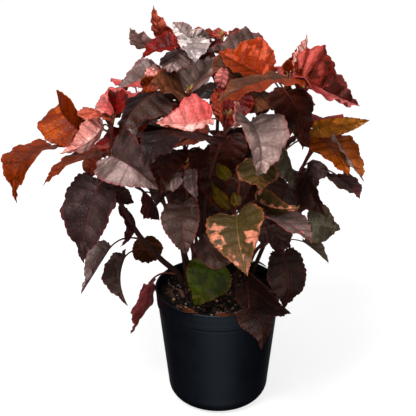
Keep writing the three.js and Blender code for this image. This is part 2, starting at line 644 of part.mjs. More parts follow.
// The soil inside the pot, a hair clear of its wall, with bark chips lying in its top
function soil(stems) {
  const corners = [];
  const triangles = [];
  const wall = wallFace(POT_WALL, FLOOR_THICKNESS).reverse();
  const [[rimRadius, rimHeight], [bandRadius, bandHeight], ...below] = wall;
  const wallRadius = THREE.MathUtils.mapLinear(SOIL_TOP, bandHeight, rimHeight, bandRadius, rimRadius);
  corners.push(new THREE.Vector3(0, 0, soilHeight(0, 0)));
  const ring = (radius, height) => {
    const first = corners.length;
    for (let k = 0; k < SOIL_SEGMENTS; k += 1) {
      const turn = (2 * Math.PI * k) / SOIL_SEGMENTS;
      const x = radius * Math.cos(turn);
      const y = radius * Math.sin(turn);
      corners.push(new THREE.Vector3(x, y, height ?? soilHeight(x, y)));
    }
    return first;
  };
  const rings = [
    ...SOIL_RINGS.map((radius) => ring(radius)),
    ring(wallRadius - 2 * FIT_GAP, SOIL_TOP - 1),
    ring(bandRadius - 2 * FIT_GAP, bandHeight),
    ...below.map(([radius, height]) => ring(radius - 2 * FIT_GAP, height + FIT_GAP)),
  ];
  const next = (k) => (k + 1) % SOIL_SEGMENTS;
  for (let k = 0; k < SOIL_SEGMENTS; k += 1) {
    triangles.push([0, rings[0] + k, rings[0] + next(k)]);
    for (let j = 0; j < rings.length - 1; j += 1) {
      const a = rings[j] + k;
      const b = rings[j] + next(k);
      const c = rings[j + 1] + next(k);
      const d = rings[j + 1] + k;
      triangles.push([a, d, c], [a, c, b]);
    }
  }
  const bottom = rings[rings.length - 1];
  for (let k = 1; k < SOIL_SEGMENTS - 1; k += 1) {
    triangles.push([bottom, bottom + k + 1, bottom + k]);
  }
  let body = solid(corners, triangles);
  for (let k = 0; k < CHIP_COUNT; k += 1) {
    body = body.add(barkChip(k));
  }
  Object.values(stems).forEach((stem) => {
    body = body.subtract(stemHole(stem));
  });
  return outerBody(body);
}

// A bark chip, half sunk in the soil; the golden angle spreads the chips evenly
function barkChip(k) {
  const radius = 84 * Math.sqrt((k + 0.6) / CHIP_COUNT);
  const turn = k * 2.4;
  const chip = new THREE.BoxGeometry(9 + (k % 3) * 3, 5 + (k % 2) * 2, 4);
  chip.rotateX(0.25 * Math.sin(k * 1.7));
  chip.rotateY(0.3 * Math.cos(k * 2.3));
  chip.rotateZ(k * 1.3);
  const x = radius * Math.cos(turn);
  const y = radius * Math.sin(turn);
  chip.translate(x, y, soilHeight(x, y));
  return solidFromGeometry(chip);
}

// The plain hole that a stem stands in: the stem's own foot, with a hair of room all round
function stemHole(stem) {
  const { line, radii } = stemForm(stem);
  const foot = line.slice(0, 3).map((point) => point.clone());
  foot[0].z -= FIT_GAP;
  return twig(foot, radii.slice(0, 3).map((radius) => radius + 2 * FIT_GAP), STEM_SIDES);
}

function mesh(name, body, colour, roughness) {
  const { vertProperties, triVerts } = body.getMesh();
  const geometry = new THREE.BufferGeometry();
  geometry.setAttribute('position', new THREE.BufferAttribute(new Float32Array(vertProperties), 3));
  geometry.setIndex([...triVerts]);
  const material = new THREE.MeshStandardMaterial({ color: colour, roughness, metalness: 0 });
  const part = new THREE.Mesh(geometry, material);
  part.name = name;
  return part;
}

const copperleaf = new THREE.Group();
copperleaf.add(mesh('pot', pot(), '#15171b', 0.45));
copperleaf.add(mesh('soil', soil(STEMS), '#2a1d15', 0.95));
Object.entries(STEMS).forEach(([name, stem]) => {
  copperleaf.add(mesh(`stem_${name}`, leafyStem(stem), stem.colour, 0.5));
});

export default copperleaf;
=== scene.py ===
import math

import bmesh
import bpy
import numpy as np
from mathutils import Matrix, Vector


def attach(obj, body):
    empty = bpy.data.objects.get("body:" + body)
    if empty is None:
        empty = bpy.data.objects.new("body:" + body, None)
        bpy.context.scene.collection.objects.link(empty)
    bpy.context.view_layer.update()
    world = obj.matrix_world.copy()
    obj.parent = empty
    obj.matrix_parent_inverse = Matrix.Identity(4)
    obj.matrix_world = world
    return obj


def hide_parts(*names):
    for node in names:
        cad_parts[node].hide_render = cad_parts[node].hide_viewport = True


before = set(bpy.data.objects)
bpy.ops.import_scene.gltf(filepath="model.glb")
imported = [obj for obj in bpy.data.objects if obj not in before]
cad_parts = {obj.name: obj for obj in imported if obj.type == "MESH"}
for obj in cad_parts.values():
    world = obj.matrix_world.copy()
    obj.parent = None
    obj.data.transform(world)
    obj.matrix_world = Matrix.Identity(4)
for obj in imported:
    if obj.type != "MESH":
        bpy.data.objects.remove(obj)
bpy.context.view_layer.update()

# Potted copperleaf: the looks. Lengths are millimetres, apart from the materials' noise scales and bump
# depths, which go by the metre. Colours are 0 to 255 as seen in the tables, and linear in the materials.
MM = 0.001

# Pot
RIM_RADIUS, POT_HEIGHT, POT_WALL = 100, 195, 2.2
BAND_HEIGHT, BAND_RADIUS, NECK_RADIUS = 27, 97.5, 95.5
BAND_FOOT = POT_HEIGHT - BAND_HEIGHT
NECK_HEIGHT = BAND_FOOT - 4
HEEL_RADIUS, HEEL_HEIGHT, FOOT_RADIUS, FLOOR_THICKNESS = 81, 26, 60, 3.7
DRAIN_RADIUS, DRAIN_RING, DRAIN_COUNT, DRAIN_SIDES = 6, 44, 4, 32
RIDGE_DROPS, RIDGE_HEIGHT, RIDGE_REACH = (11, 22, 31), 0.14, 0.7
LIP, POT_SIDES, HEEL_STEPS, WALL_STEPS, BAND_STEPS = 1.6, 144, 14, 30, 60

# Soil
SOIL_TOP, SOIL_SWELL, FIT_GAP = 176, 2.2, 0.3
SOIL_SIDES, SOIL_RINGS = 120, 44
# The crumbs of the soil's top: height, width and seed of each size
CRUMBLES = ((3.2, 7, 3), (2, 3.1, 5), (1, 1.4, 8))
# Where the pebbles and the nearest perlite grains lie
PEBBLES = ((-70, -16), (-50, -44), (-2, -19), (22, -44), (56, 30), (-20, 62))
SPECKS = ((-82, 52), (-73, 31), (-62, 52), (-76, 59))
# Grains on the soil: how many, their seed, the radii and the flatness of a rounded grain, colours, roughness,
# relief, the share of a grain that is sunk, and the first ones' places where these are set
GRAINS = {
    "bark_chips": (150, 11, None, ((92, 56, 40), (70, 42, 30), (128, 84, 66), (48, 32, 24)), 0.8, 0.8, 0.35),
    "peat_crumbs": (420, 12, (0.8, 2.2, 0.8), ((40, 26, 20), (28, 18, 14), (56, 38, 28)), 0.9, 0.9, 0.3),
    "perlite_grains": (46, 13, (1, 2.1, 0.85), ((184, 168, 158), (150, 132, 124)), 0.8, 0.5, 0.3, *SPECKS),
    "feed_prills": (34, 14, (1.4, 1.9, 0.97), ((176, 134, 84), (160, 112, 64)), 0.4, 0.1, 0.25),
    "pebbles": (6, 15, (2.8, 3.4, 0.8), ((186, 140, 92), (170, 124, 80)), 0.5, 0.3, 0.2, *PEBBLES),
}
# Dead leaf bits on the rim, laid out as near leaves are
LITTER_SEED = 3000
LITTER = [
    ((-52, -84, 196.2), (-29, -94, 196.6), (-20, 50), 8, 30, 0.1, "bronze"),
    ((-2, -99, 196.4), (29, -95.5, 196), (5, 35), 5, -25, 0.04, "bronze"),
    ((60, 79, 196.3), (80, 59, 196.2), (150, 70), 8, 15, 0.05, "bronze"),
]

# Leaves, as in the part's own source
WAVE_SHARE, WAVE_TURN = 0.035, 16.8
STALK_SHARE, STALK_EXTRA, STALK_MOST, STALK_SINK, LOWEST_LEAF = 0.42, 6, 48, 6, 188
EDGE = [(0, 0), (-0.055, 0.22), (-0.03, 0.62), (0.12, 0.93), (0.33, 0.99), (0.55, 0.74),
        (0.76, 0.36), (0.9, 0.13), (1, 0)]
VEIN_ROOTS = [0, 0.004, 0.02, 0.08, 0.22, 0.44, 0.68, 0.86, 1]
VEINS = 8
# How far from a side vein the painted shade of its furrow reaches
FURROW_SHADE_REACH = 3.6
BLADE_THICKNESS, RIB, GROOVE = 0.5, 0.9, 0.5
# Heights of the puffs between side veins and of the margin's ruffle, as shares of a blade's length and width
QUILT, RUFFLE = 0.042, 0.02
# Young leaves are more crinkled: heights where that begins and is full, and by how much
YOUNG_FROM, YOUNG_FULL, YOUNG_EXTRA = 400, 560, 0.5
# How dark a blade's own colour is beside its colour as seen in full light
DEPTH = 0.84
# From this difference on, a tone's patches stand out from its main colour
PATCHY = 0.33
# How much fuller a dark blade's own colour is than its colour under the sheen
RICHNESS = 1.28
UNDERSIDE = (158, 112, 98)
# Where a blade has a column of points, as shares of the way from its midrib to its margin
COLUMNS = (0, 0.035, 0.12, 0.26, 0.42, 0.58, 0.74, 0.87, 0.95, 1)
SMALL_COLUMNS = (0, 0.08, 0.3, 0.6, 0.85, 1)
# The rows of points along one tooth, how far each stands out, and a tooth's height as a share of the length
TOOTH_STEPS, TOOTH_RISE, TOOTH = (0, 0.4, 0.75), (0, 0.9, 0.85), 0.017
TEETH, SMALL_TEETH, SMALL_LEAF = 21, 14, 50
STALK_POINTS, STALK_SIDES, STEM_STEPS, STEM_SIDES = 13, 8, 10, 14
STALK_COLOUR, YOUNG_BARK, OLD_BARK = (84, 38, 32), (94, 40, 31), (52, 30, 25)
BUD_TONES = ("sprout", "flame", "sprout")

# Light of the ceiling, the front wall and the back wall: its axis, where it begins and is full, and strength
SIDE_LIGHT = 0.015
STUDIO = (("Z", 0.2, 0.7, 0.8), ("Y", -0.5, -0.96, 1.1), ("Y", 0.5, 1, 0.35))
# Lamps: place, the point they face, width and height, and watts
LAMPS = {"overhead": ((-500, -900, 2100), (0, 0, 400), (900, 900), 62),
         "front": ((-200, -2600, 1000), (0, 0, 150), (300, 1200), 15)}
# The sheet that the pot stands on, which rises to a wall far away: radius and height
SHEET, SHEET_SIDES = ((10000, 0), (11200, 250), (11900, 1200), (12000, 3000), (12000, 8000)), 48
# The photograph's view: place, sensor, lens, and the degrees that it looks down and leans
CAMERA_PLACE, SENSOR, LENS, LOOK_DOWN, LEAN = (0, -1496.8, 1000.95), 36, 92.24, 24.1735, 0.536

# Colours of each leaf tone as seen, 0 to 255: the main one, its patches, veins, margin and tip, then how
# much of the blade the patches take and how strongly the tip colour shows
# The pale grey and mauve tones (frost, pewter, silver, heather, mauve) are partly the leaves' own colour and
# partly painted sheen, the gloss of the blades towards a bright sky
TONES = {
    "rust": ((114, 48, 20), (88, 38, 16), (88, 32, 18), (140, 60, 40), (120, 54, 30), 0.45, 0.3),
    "orange": ((156, 72, 36), (112, 48, 24), (122, 42, 22), (136, 54, 36), (144, 68, 40), 0.4, 0.3),
    "flame": ((236, 114, 72), (200, 84, 54), (160, 54, 36), (192, 76, 52), (226, 110, 74), 0.4, 0.3),
    "amber": ((232, 160, 58), (188, 118, 42), (178, 104, 44), (178, 80, 38), (222, 148, 60), 0.4, 0.3),
    "ochre": ((176, 92, 40), (142, 72, 30), (136, 60, 26), (156, 62, 36), (168, 90, 44), 0.45, 0.3),
    "brick": ((108, 30, 8), (72, 18, 4), (72, 18, 8), (126, 44, 30), (112, 38, 18), 0.45, 0.2),
    "russet": ((112, 38, 34), (84, 28, 24), (84, 28, 26), (210, 104, 100), (214, 112, 112), 0.4, 0.75),
    "scarlet": ((206, 88, 78), (120, 50, 34), (150, 60, 52), (150, 60, 52), (56, 26, 23), 0.3, 0.97),
    "coral": ((206, 104, 80), (164, 72, 52), (172, 66, 50), (208, 108, 86), (208, 108, 86), 0.4, 0.3),
    "salmon": ((222, 108, 104), (204, 82, 80), (196, 82, 76), (192, 60, 54), (238, 172, 162), 0.4, 0.6),
    "blush": ((234, 156, 144), (246, 212, 202), (208, 112, 104), (220, 128, 112), (240, 172, 160), 0.3, 0.3),
    "pink": ((218, 132, 124), (184, 98, 92), (168, 72, 68), (190, 84, 80), (224, 152, 144), 0.4, 0.3),
    "crimson": ((200, 102, 102), (154, 72, 74), (206, 118, 114), (194, 90, 92), (200, 106, 102), 0.45, 0.3),
    "frost": ((226, 216, 213), (154, 138, 135), (140, 120, 118), (206, 182, 180), (230, 222, 219), 0.48, 0.3),
    "pewter": ((194, 166, 158), (152, 126, 119), (156, 122, 116), (168, 100, 96), (196, 166, 158), 0.4, 0.3),
    "silver": ((168, 148, 143), (130, 108, 103), (132, 102, 97), (158, 94, 92), (178, 150, 146), 0.4, 0.3),
    "heather": ((162, 136, 131), (118, 98, 94), (122, 88, 84), (144, 84, 84), (160, 132, 128), 0.45, 0.2),
    "mauve": ((104, 83, 77), (72, 55, 50), (88, 48, 46), (124, 64, 65), (108, 84, 80), 0.45, 0.2),
    "blazed": ((104, 86, 82), (214, 106, 108), (88, 50, 50), (128, 66, 66), (108, 84, 80), -0.35, 0.2),
    "wine": ((80, 44, 45), (52, 27, 29), (98, 42, 45), (112, 48, 54), (90, 48, 50), 0.45, 0.3),
    "dusk": ((68, 54, 52), (44, 32, 31), (76, 40, 40), (92, 46, 48), (70, 54, 52), 0.45, 0.2),
    "umber": ((52, 34, 29), (36, 23, 19), (64, 32, 28), (78, 39, 35), (58, 38, 33), 0.45, 0.2),
    "mahogany": ((60, 29, 22), (42, 20, 15), (70, 28, 24), (84, 34, 28), (62, 32, 26), 0.45, 0.2),
    "sable": ((22, 8, 6), (14, 4, 3), (36, 13, 10), (54, 21, 18), (28, 12, 10), 0.45, 0.2),
    "bronze": ((94, 56, 40), (66, 39, 27), (76, 36, 25), (110, 58, 42), (96, 58, 42), 0.45, 0.2),
    "olive": ((88, 67, 31), (60, 46, 20), (98, 82, 42), (114, 66, 40), (98, 70, 38), 0.45, 0.2),
    "moss": ((110, 92, 36), (80, 66, 26), (112, 98, 52), (114, 70, 40), (112, 84, 40), 0.45, 0.2),
    "green": ((58, 70, 20), (42, 46, 14), (64, 74, 26), (92, 66, 28), (84, 70, 28), 0.4, 0.35),
    "harlequin": ((66, 54, 34), (206, 126, 98), (96, 84, 50), (140, 84, 58), (212, 144, 122), 0.24, 0.2),
    "ember": ((208, 86, 48), (140, 56, 30), (156, 54, 32), (184, 70, 46), (206, 94, 60), 0.5, 0.3),
    "sprout": ((188, 176, 78), (150, 134, 52), (196, 186, 110), (176, 112, 56), (206, 176, 92), 0.35, 0.3),
    "thicket": ((72, 58, 34), (54, 43, 24), (92, 78, 46), (190, 110, 80), (146, 90, 58), 0.4, 0.3),
    "teal": ((108, 100, 84), (76, 67, 55), (114, 110, 88), (104, 66, 58), (108, 100, 86), 0.45, 0.3),
}
# Tones of the far leaves, from a stem's foot to its bud
FAR_TONES = ("umber", "wine", "umber", "mauve", "bronze", "brick", "rust", "scarlet", "salmon")

# The leafy stems: radii at the foot and the bud, the place of the straight foot, and the route above it
STEM_FOOT = (140, 186)
STEMS = {
    "left": ((5.5, 2.2), (-62, 42), [
        (-93, 25, 230), (-120, 0, 278), (-139, -28, 332), (-152, -48, 380), (-154, -58, 431),
        (-151, -66, 493),
    ]),
    "inner": ((3.6, 1.7), (-50, 18), [
        (-59, -5, 277), (-78, -15, 329), (-87, -22, 385), (-81, -28, 435), (-65, -36, 488), (-43, -45, 530),
    ]),
    "crown": ((4.2, 1.9), (-30, 32), [
        (-44, 22, 272), (-50, 22, 350), (-51, 18, 434), (-55, 8, 516), (-58, 0, 584),
    ]),
    "heart": ((4, 1.9), (-18, 0), [
        (-18, -25, 278), (-19, -55, 359), (-7, -82, 433), (7, -100, 481), (14, -112, 516),
    ]),
    "young": ((3.2, 1.5), (-40, -14), [(-38, -50, 282), (-43, -78, 342), (-44, -100, 394), (-44, -130, 448)]),
    "front": ((3.6, 1.5), (6, -16), [(12, -55, 276), (19, -90, 331), (25, -125, 385), (31, -125, 428)]),
    "high": ((4.4, 2), (28, 26), [
        (47, 10, 270), (58, 0, 343), (71, -18, 424), (85, -34, 496), (99, -48, 549),
    ]),
    "east": ((4, 1.8), (50, 20), [
        (72, 5, 263), (95, -5, 325), (116, -18, 380), (132, -28, 424), (146, -35, 460),
    ]),
    "low": ((3.6, 1.6), (38, -12), [(52, -38, 262), (66, -60, 297), (85, -78, 329), (107, -88, 359)]),
    "backleft": ((4.2, 1.8), (-46, 56), [(-66, 76, 260), (-92, 98, 340), (-116, 114, 410), (-128, 122, 462)]),
    "backmid": ((4.4, 1.9), (-8, 62), [(-4, 82, 280), (-2, 104, 390), (2, 112, 490), (6, 104, 568)]),
    "backright": ((4.2, 1.8), (48, 58), [(64, 76, 260), (90, 96, 340), (116, 106, 420), (132, 106, 478)]),
    "backlow": ((3.6, 1.6), (-30, 76), [(-40, 108, 250), (-52, 148, 320), (-58, 178, 390), (-60, 192, 440)]),
}
# Leaves that the photograph shows: base, tip, facing, width, fold, arch, tone, and a stalk where it is set
NEAR_LEAVES = {
    "left": [
        ((-254, 4, 428), (-298, -56, 362), (-60, 55), 88, 10, 0.26, "rust"),
        ((-196, -76, 482), (-224, -2, 504), (-55, 25), 80, 30, 0.24, "orange/rust"),
        ((-160, -96, 498), (-218, -136, 474), (45, -5), 52, -30, 0.18, "blush"),
        ((-162, -108, 516), (-192, -60, 512), (125, 75), 48, -20, 0.08, "coral"),
        ((-150, -70, 508), (-166, -38, 520), (-35, 45), 20, 45, 0.16, "salmon"),
        ((-146, -40, 498), (-154, 22, 508), (25, 65), 40, 45, 0.1, "brick"),
        ((-168, -68, 446), (-246, -122, 418), (-95, 75), 54, 5, 0.12, "rust"),
        ((-180, -48, 430), (-192, -40, 400), (-5, 0), 28, 10, 0.26, "coral"),
        ((-148, -110, 458), (-80, -160, 428), (-20, 30), 82, 20, 0.22, "dusk/heather"),
        ((-170, -96, 408), (-196, -124, 298), (-40, 20), 100, 10, 0.1, "dusk"),
        ((-158, -56, 382), (-126, -38, 354), (30, 15), 30, 35, 0.08, "umber"),
        ((-164, -52, 286), (-208, -74, 218), (-75, 30), 60, 30, 0, "silver"),
        ((-144, -26, 258), (-138, -78, 200), (-50, 10), 56, 40, 0.12, "mauve"),
        ((-110, -24, 206), (-142, -10, 110), (65, -5), 70, -5, 0.06, "crimson"),
        ((-118, 48, 254), (-110, 74, 198), (10, -10), 54, 25, 0.1, "bronze"),
        ((-142, 14, 322), (-148, -48, 284), (80, 10), 54, -35, 0.26, "wine"),
        ((-98, -34, 476), (-122, -62, 420), (-30, 35), 74, 10, 0.12, "umber"),
    ],
    "inner": [
        ((-112, 18, 348), (-94, 52, 284), (95, 15), 68, -35, 0.08, "wine"),
        ((-56, -76, 510), (-112, -124, 492), (-85, 60), 48, -5, 0.16, "rust"),
        ((-82, -78, 542), (-134, -138, 494), (-45, 60), 84, -20, 0.18, "umber/sable", 56),
        ((-84, 10, 538), (-144, -44, 534), (35, 70), 52, 35, 0.04, "silver"),
        ((-82, -20, 558), (-106, -38, 552), (85, 60), 26, -5, 0.08, "blush"),
        ((-46, -54, 524), (-94, -122, 568), (90, 45), 82, 10, 0.06, "bronze"),
        ((-86, -50, 546), (-108, -30, 536), (-30, 5), 26, 25, 0.26, "rust"),
        ((-40, -24, 524), (-6, 38, 558), (0, 60), 72, 45, 0.02, "pewter"),
        ((8, -58, 566), (4, -48, 534), (-10, -5), 18, 0, 0.28, "pink"),
        ((-32, -54, 534), (2, -100, 530), (-95, 65), 44, -10, 0.26, "sable"),
        ((-98, -50, 492), (-134, -84, 464), (-20, 45), 66, 10, 0.12, "silver"),
        ((-70, -12, 400), (-92, -40, 350), (-25, 25), 64, 10, 0.12, "umber"),
    ],
    "crown": [
        ((-56, -8, 582), (-68, -74, 568), (-5, 65), 48, -25, -0.02, "heather"),
        ((-38, 2, 594), (-30, -56, 576), (65, 85), 48, 10, 0.04, "frost"),
        ((-44, 36, 588), (-68, 70, 602), (-35, 35), 30, 5, 0.04, "frost/silver"),
        ((-40, 18, 592), (-10, 50, 576), (55, 25), 32, 45, 0.08, "frost"),
        ((-68, 100, 566), (-96, 68, 628), (-35, -5), 50, -10, 0.18, "coral"),
        ((-80, 38, 576), (-126, -16, 616), (-10, -55), 66, -5, 0.1, "pewter"),
        ((-60, -32, 594), (-110, -30, 574), (15, 70), 46, 25, 0.08, "brick"),
        ((-22, -16, 430), (-2, -44, 360), (10, 25), 84, 10, 0.12, "mahogany"),
        ((-38, 10, 472), (-72, -20, 432), (-15, 40), 80, 10, 0.12, "coral"),
        ((-30, -4, 382), (-46, -24, 304), (-10, 15), 72, 10, 0.12, "mahogany"),
        ((-18, 10, 344), (-22, -14, 270), (5, 15), 66, 10, 0.12, "umber"),
    ],
    "heart": [
        ((44, -146, 520), (54, -182, 454), (30, 25), 78, 30, 0.28, "pewter", 60),
        ((30, -130, 536), (20, -172, 520), (65, 15), 32, -10, 0.08, "blush"),
        ((-10, -132, 520), (-84, -140, 516), (35, 60), 70, 30, -0.06, "blush/salmon"),
        ((6, -116, 518), (-6, -144, 568), (105, 25), 42, -30, 0.08, "flame"),
        ((18, -80, 478), (12, -66, 420), (-5, 5), 54, 10, 0.16, "mahogany"),
        ((-26, -114, 488), (-100, -232, 490), (-105, 85), 122, -5, 0.18, "sable"),
        ((4, -62, 418), (18, -92, 348), (5, 20), 74, 10, 0.12, "mahogany"),
        ((22, -60, 532), (12, -84, 484), (-10, 30), 64, 10, 0.12, "brick"),
    ],
    "young": [
        ((-60, -98, 462), (-78, -142, 410), (-65, 65), 66, -10, 0.22, "mahogany"),
        ((-52, -142, 440), (-74, -124, 408), (-60, 50), 34, -20, 0.16, "pewter"),
        ((-34, -160, 456), (-28, -172, 416), (-50, 0), 34, 15, 0.06, "heather"),
        ((-50, -116, 388), (-42, -140, 318), (-15, 25), 56, 10, 0.24, "mauve"),
        ((-20, -90, 316), (18, -86, 278), (5, -5), 48, 45, 0.26, "mauve"),
        ((-8, -50, 258), (-34, -66, 192), (-5, 25), 70, 5, 0.1, "green"),
    ],
    "front": [
        ((26, -156, 386), (40, -230, 332), (-30, 50), 86, 20, 0.12, "harlequin"),
        ((14, -134, 390), (-10, -106, 418), (0, 10), 24, -40, 0.26, "olive"),
        ((26, -142, 398), (22, -126, 410), (0, 60), 16, 25, 0.18, "olive"),
        ((56, -120, 458), (58, -188, 440), (30, 70), 64, -20, 0, "thicket"),
        ((54, -124, 396), (112, -166, 404), (-30, -15), 44, -25, 0.1, "harlequin"),
        ((14, -132, 434), (-2, -110, 446), (-20, 40), 20, 30, 0.1, "moss"),
    ],
    "high": [
        ((66, -56, 556), (0, -8, 578), (-20, 60), 84, 35, 0.02, "rust/ember"),
        ((96, -122, 572), (-6, -212, 562), (145, 80), 74, 0, 0.1, "rust/bronze"),
        ((102, -40, 552), (112, -20, 588), (65, 5), 38, -25, 0.06, "rust"),
        ((104, -108, 576), (200, -66, 516), (35, 55), 98, 30, -0.04, "scarlet/russet"),
        ((110, -58, 572), (126, -10, 606), (65, -10), 34, -30, 0.1, "blush"),
        ((94, -60, 538), (120, -92, 460), (45, 30), 78, -10, 0.14, "mahogany"),
        ((116, -14, 524), (144, 8, 492), (70, 45), 40, -5, 0.06, "flame"),
        ((68, -38, 528), (26, -78, 504), (-10, 50), 78, 5, 0.12, "bronze"),
        ((48, -8, 392), (42, -40, 318), (0, 15), 80, 10, 0.12, "mahogany"),
        ((32, -20, 564), (8, -44, 522), (-20, 45), 70, 10, 0.12, "bronze"),
        ((46, -24, 462), (36, -50, 406), (0, 25), 70, 10, 0.12, "sable"),
    ],
    "east": [
        ((140, -30, 470), (222, -18, 478), (10, 15), 36, 45, 0.24, "amber"),
        ((158, -38, 456), (182, -124, 434), (60, 65), 62, -10, 0.02, "ochre"),
        ((170, -56, 464), (208, -98, 414), (80, 55), 66, 15, 0, "ochre/pewter"),
        ((134, -42, 420), (168, -24, 392), (30, -5), 32, 45, 0.04, "heather"),
        ((174, -50, 404), (202, -112, 394), (115, 80), 50, 5, 0, "wine/mauve"),
        ((130, -56, 412), (156, -106, 364), (-60, 5), 64, 15, 0.1, "umber"),
        ((94, -94, 460), (110, -68, 390), (75, 10), 62, -25, 0.06, "teal"),
        ((104, -30, 382), (80, -62, 324), (5, 25), 80, 10, 0.12, "umber"),
        ((80, -14, 336), (68, -36, 278), (0, 20), 60, 10, 0.12, "mauve"),
    ],
    "low": [
        ((68, -130, 372), (128, -208, 370), (150, 75), 84, 10, 0.08, "blazed"),
        ((132, -88, 348), (182, -64, 324), (35, 10), 62, -15, 0.12, "teal"),
        ((130, -60, 300), (164, -90, 280), (75, 50), 36, 30, 0.02, "teal"),
        ((72, -96, 340), (108, -56, 288), (35, -5), 48, 40, 0.02, "mauve"),
        ((96, -114, 308), (96, -126, 224), (20, 15), 60, -5, 0.28, "umber"),
        ((46, -44, 222), (112, -70, 182), (-10, 15), 68, 45, 0.18, "umber"),
        ((46, -122, 222), (62, -168, 178), (35, 55), 60, -20, 0.28, "umber"),
    ],
    "backmid": [
        ((70, 38, 560), (-20, 0, 580), (60, 65), 82, 35, -0.06, "mauve"),
    ],
}
# Leaves of the far side: share of the height, compass turn and length
FAR_LEAVES = {
    "left": [(0.74, 110, 98), (0.55, 120, 90)],
    "crown": [(0.82, 70, 86), (0.74, 120, 90)],
    "high": [(0.88, -10, 74), (0.86, 45, 90)],
    "east": [(0.89, 70, 80), (0.66, 30, 90), (0.45, 75, 92)],
    "backleft": [
        (0.88, 105, 66), (0.98, 25, 64), (0.91, 220, 74), (0.92, 110, 82), (0.82, 175, 92),
        (0.77, 35, 86), (0.7, 130, 98), (0.62, 200, 104), (0.59, 90, 100), (0.42, 150, 98),
    ],
    "backmid": [
        (0.92, -20, 62), (0.96, 190, 62), (0.89, 120, 78), (0.76, 50, 78), (0.82, 130, 92),
        (0.76, 140, 94), (0.68, 110, 100), (0.58, 85, 104),
    ],
    "backright": [
        (1, 45, 60), (0.88, 100, 60), (1, -45, 80), (0.99, 120, 84), (0.89, 35, 82), (0.76, 120, 88),
        (0.66, 30, 90), (0.62, -25, 104), (0.55, 90, 100), (0.42, 40, 98),
    ],
    "backlow": [
        (1, 90, 68), (1, 145, 82), (0.96, 160, 76), (0.8, 90, 96), (0.7, 130, 100), (0.6, 50, 98),
        (0.45, 110, 98),
    ],
}


def linear(colour):
    """A colour as seen, 0 to 255, in the renderer's own linear values."""
    c = np.asarray(colour, float) / 255
    return np.where(c <= 0.04045, c / 12.92, ((c + 0.055) / 1.055) ** 2.4)


def smoothstep(low, high, x):
    x = np.clip((x - low) / (high - low), 0, 1)
    return x * x * (3 - 2 * x)


def mix(a, b, share):
    return a + (b - a) * np.asarray(share)[..., None]


def noise(x, y, seed):
    """Smooth value noise between 0 and 1 that repeats the same for the same seed."""
    def corner(i, j):
        value = np.sin(i * 127.1 + j * 311.7 + seed * 74.7) * 43758.5453
        return value - np.floor(value)
    i, j = np.floor(x), np.floor(y)
    u, v = smoothstep(0, 1, x - i), smoothstep(0, 1, y - j)
    low = corner(i, j) * (1 - u) + corner(i + 1, j) * u
    high = corner(i, j + 1) * (1 - u) + corner(i + 1, j + 1) * u
    return low * (1 - v) + high * v


def unit(v):
    return v / np.linalg.norm(v, axis=-1, keepdims=True)


def spline(points, places):
    """A smooth curve through the points, at places counted in points from the first."""
    p = np.asarray(points, float)
    last = len(p) - 1
    i = np.minimum(np.floor(places).astype(int), last - 1)
    t = np.asarray(places, float) - i
    around = (np.maximum(i - 1, 0), i, i + 1, np.minimum(i + 2, last))
    weights = (-0.5 * t + t * t - 0.5 * t**3, 1 - 2.5 * t * t + 1.5 * t**3,
               0.5 * t + 2 * t * t - 1.5 * t**3, -0.5 * t * t + 0.5 * t**3)
    return sum(w.reshape(-1, *[1] * (p.ndim - 1)) * p[k] for w, k in zip(weights, around))


def heading(line, i):
    return unit(line[min(i + 1, len(line) - 1)] - line[max(i - 1, 0)])


def shown(name, data):
    """A new object of the scene, of a mesh, lamp or camera."""
    thing = bpy.data.objects.new(name, data)
    bpy.context.scene.collection.objects.link(thing)
    return thing


class Cloth:
    """Points, faces and per-point values of one mesh while it is put together."""

    def __init__(self):
        self.points, self.faces, self.materials, self.values = [], [], [], {}

    def add(self, points, faces, material=0, **values):
        first = sum(map(len, self.points))
        points = np.asarray(points, float).reshape(-1, 3)
        self.points.append(points)
        self.faces.extend(tuple(int(k) + first for k in face) for face in faces)
        self.materials.extend([material] * len(faces))
        for name, value in values.items():
            self.values.setdefault(name, []).append(np.asarray(value, float).reshape(len(points), -1))

    def thing(self, name, materials=(), smooth=True):
        mesh = bpy.data.meshes.new(name)
        mesh.from_pydata((np.concatenate(self.points) * MM).tolist(), [], self.faces)
        for material in materials:
            mesh.materials.append(material)
        mesh.polygons.foreach_set("material_index", self.materials)
        mesh.polygons.foreach_set("use_smooth", [smooth] * len(self.faces))
        for value_name, parts in self.values.items():
            value = np.concatenate(parts)
            if value.shape[1] == 1:
                layer = mesh.attributes.new(value_name, "FLOAT", "POINT")
                layer.data.foreach_set("value", value.ravel())
            else:
                layer = mesh.color_attributes.new(value_name, "FLOAT_COLOR", "POINT")
                layer.data.foreach_set("color", np.c_[value, np.ones(len(value))].ravel())
        mesh.validate()
        return shown(name, mesh)

    def piece(self, name, slot, materials, smooth=True, added=False):
        """A piece of the part in a slot of its record; it stands for that slot's solid unless it is added."""
        thing = self.thing(name, materials, smooth)
        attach(thing, "root")
        if not added:
            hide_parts(slot)
        return thing


def closed_rings(rings):
    """Points and faces of a closed skin that runs through rings with as many points each."""
    rings = np.asarray(rings, float)
    grid = np.arange(rings[..., 0].size).reshape(rings.shape[:2])
    after = np.roll(grid, -1, axis=1)
    faces = list(zip(grid[:-1].flat, after[:-1].flat, after[1:].flat, grid[1:].flat))
    return rings.reshape(-1, 3), [*faces, grid[0, ::-1], grid[-1]]


def turned_rings(section, sides):
    """Rings of a body of revolution from (radius, height) pairs, bottom first."""
    turns = 2 * math.pi * np.arange(sides) / sides
    return [np.c_[r * np.cos(turns), r * np.sin(turns), np.full(sides, z)] for r, z in section]


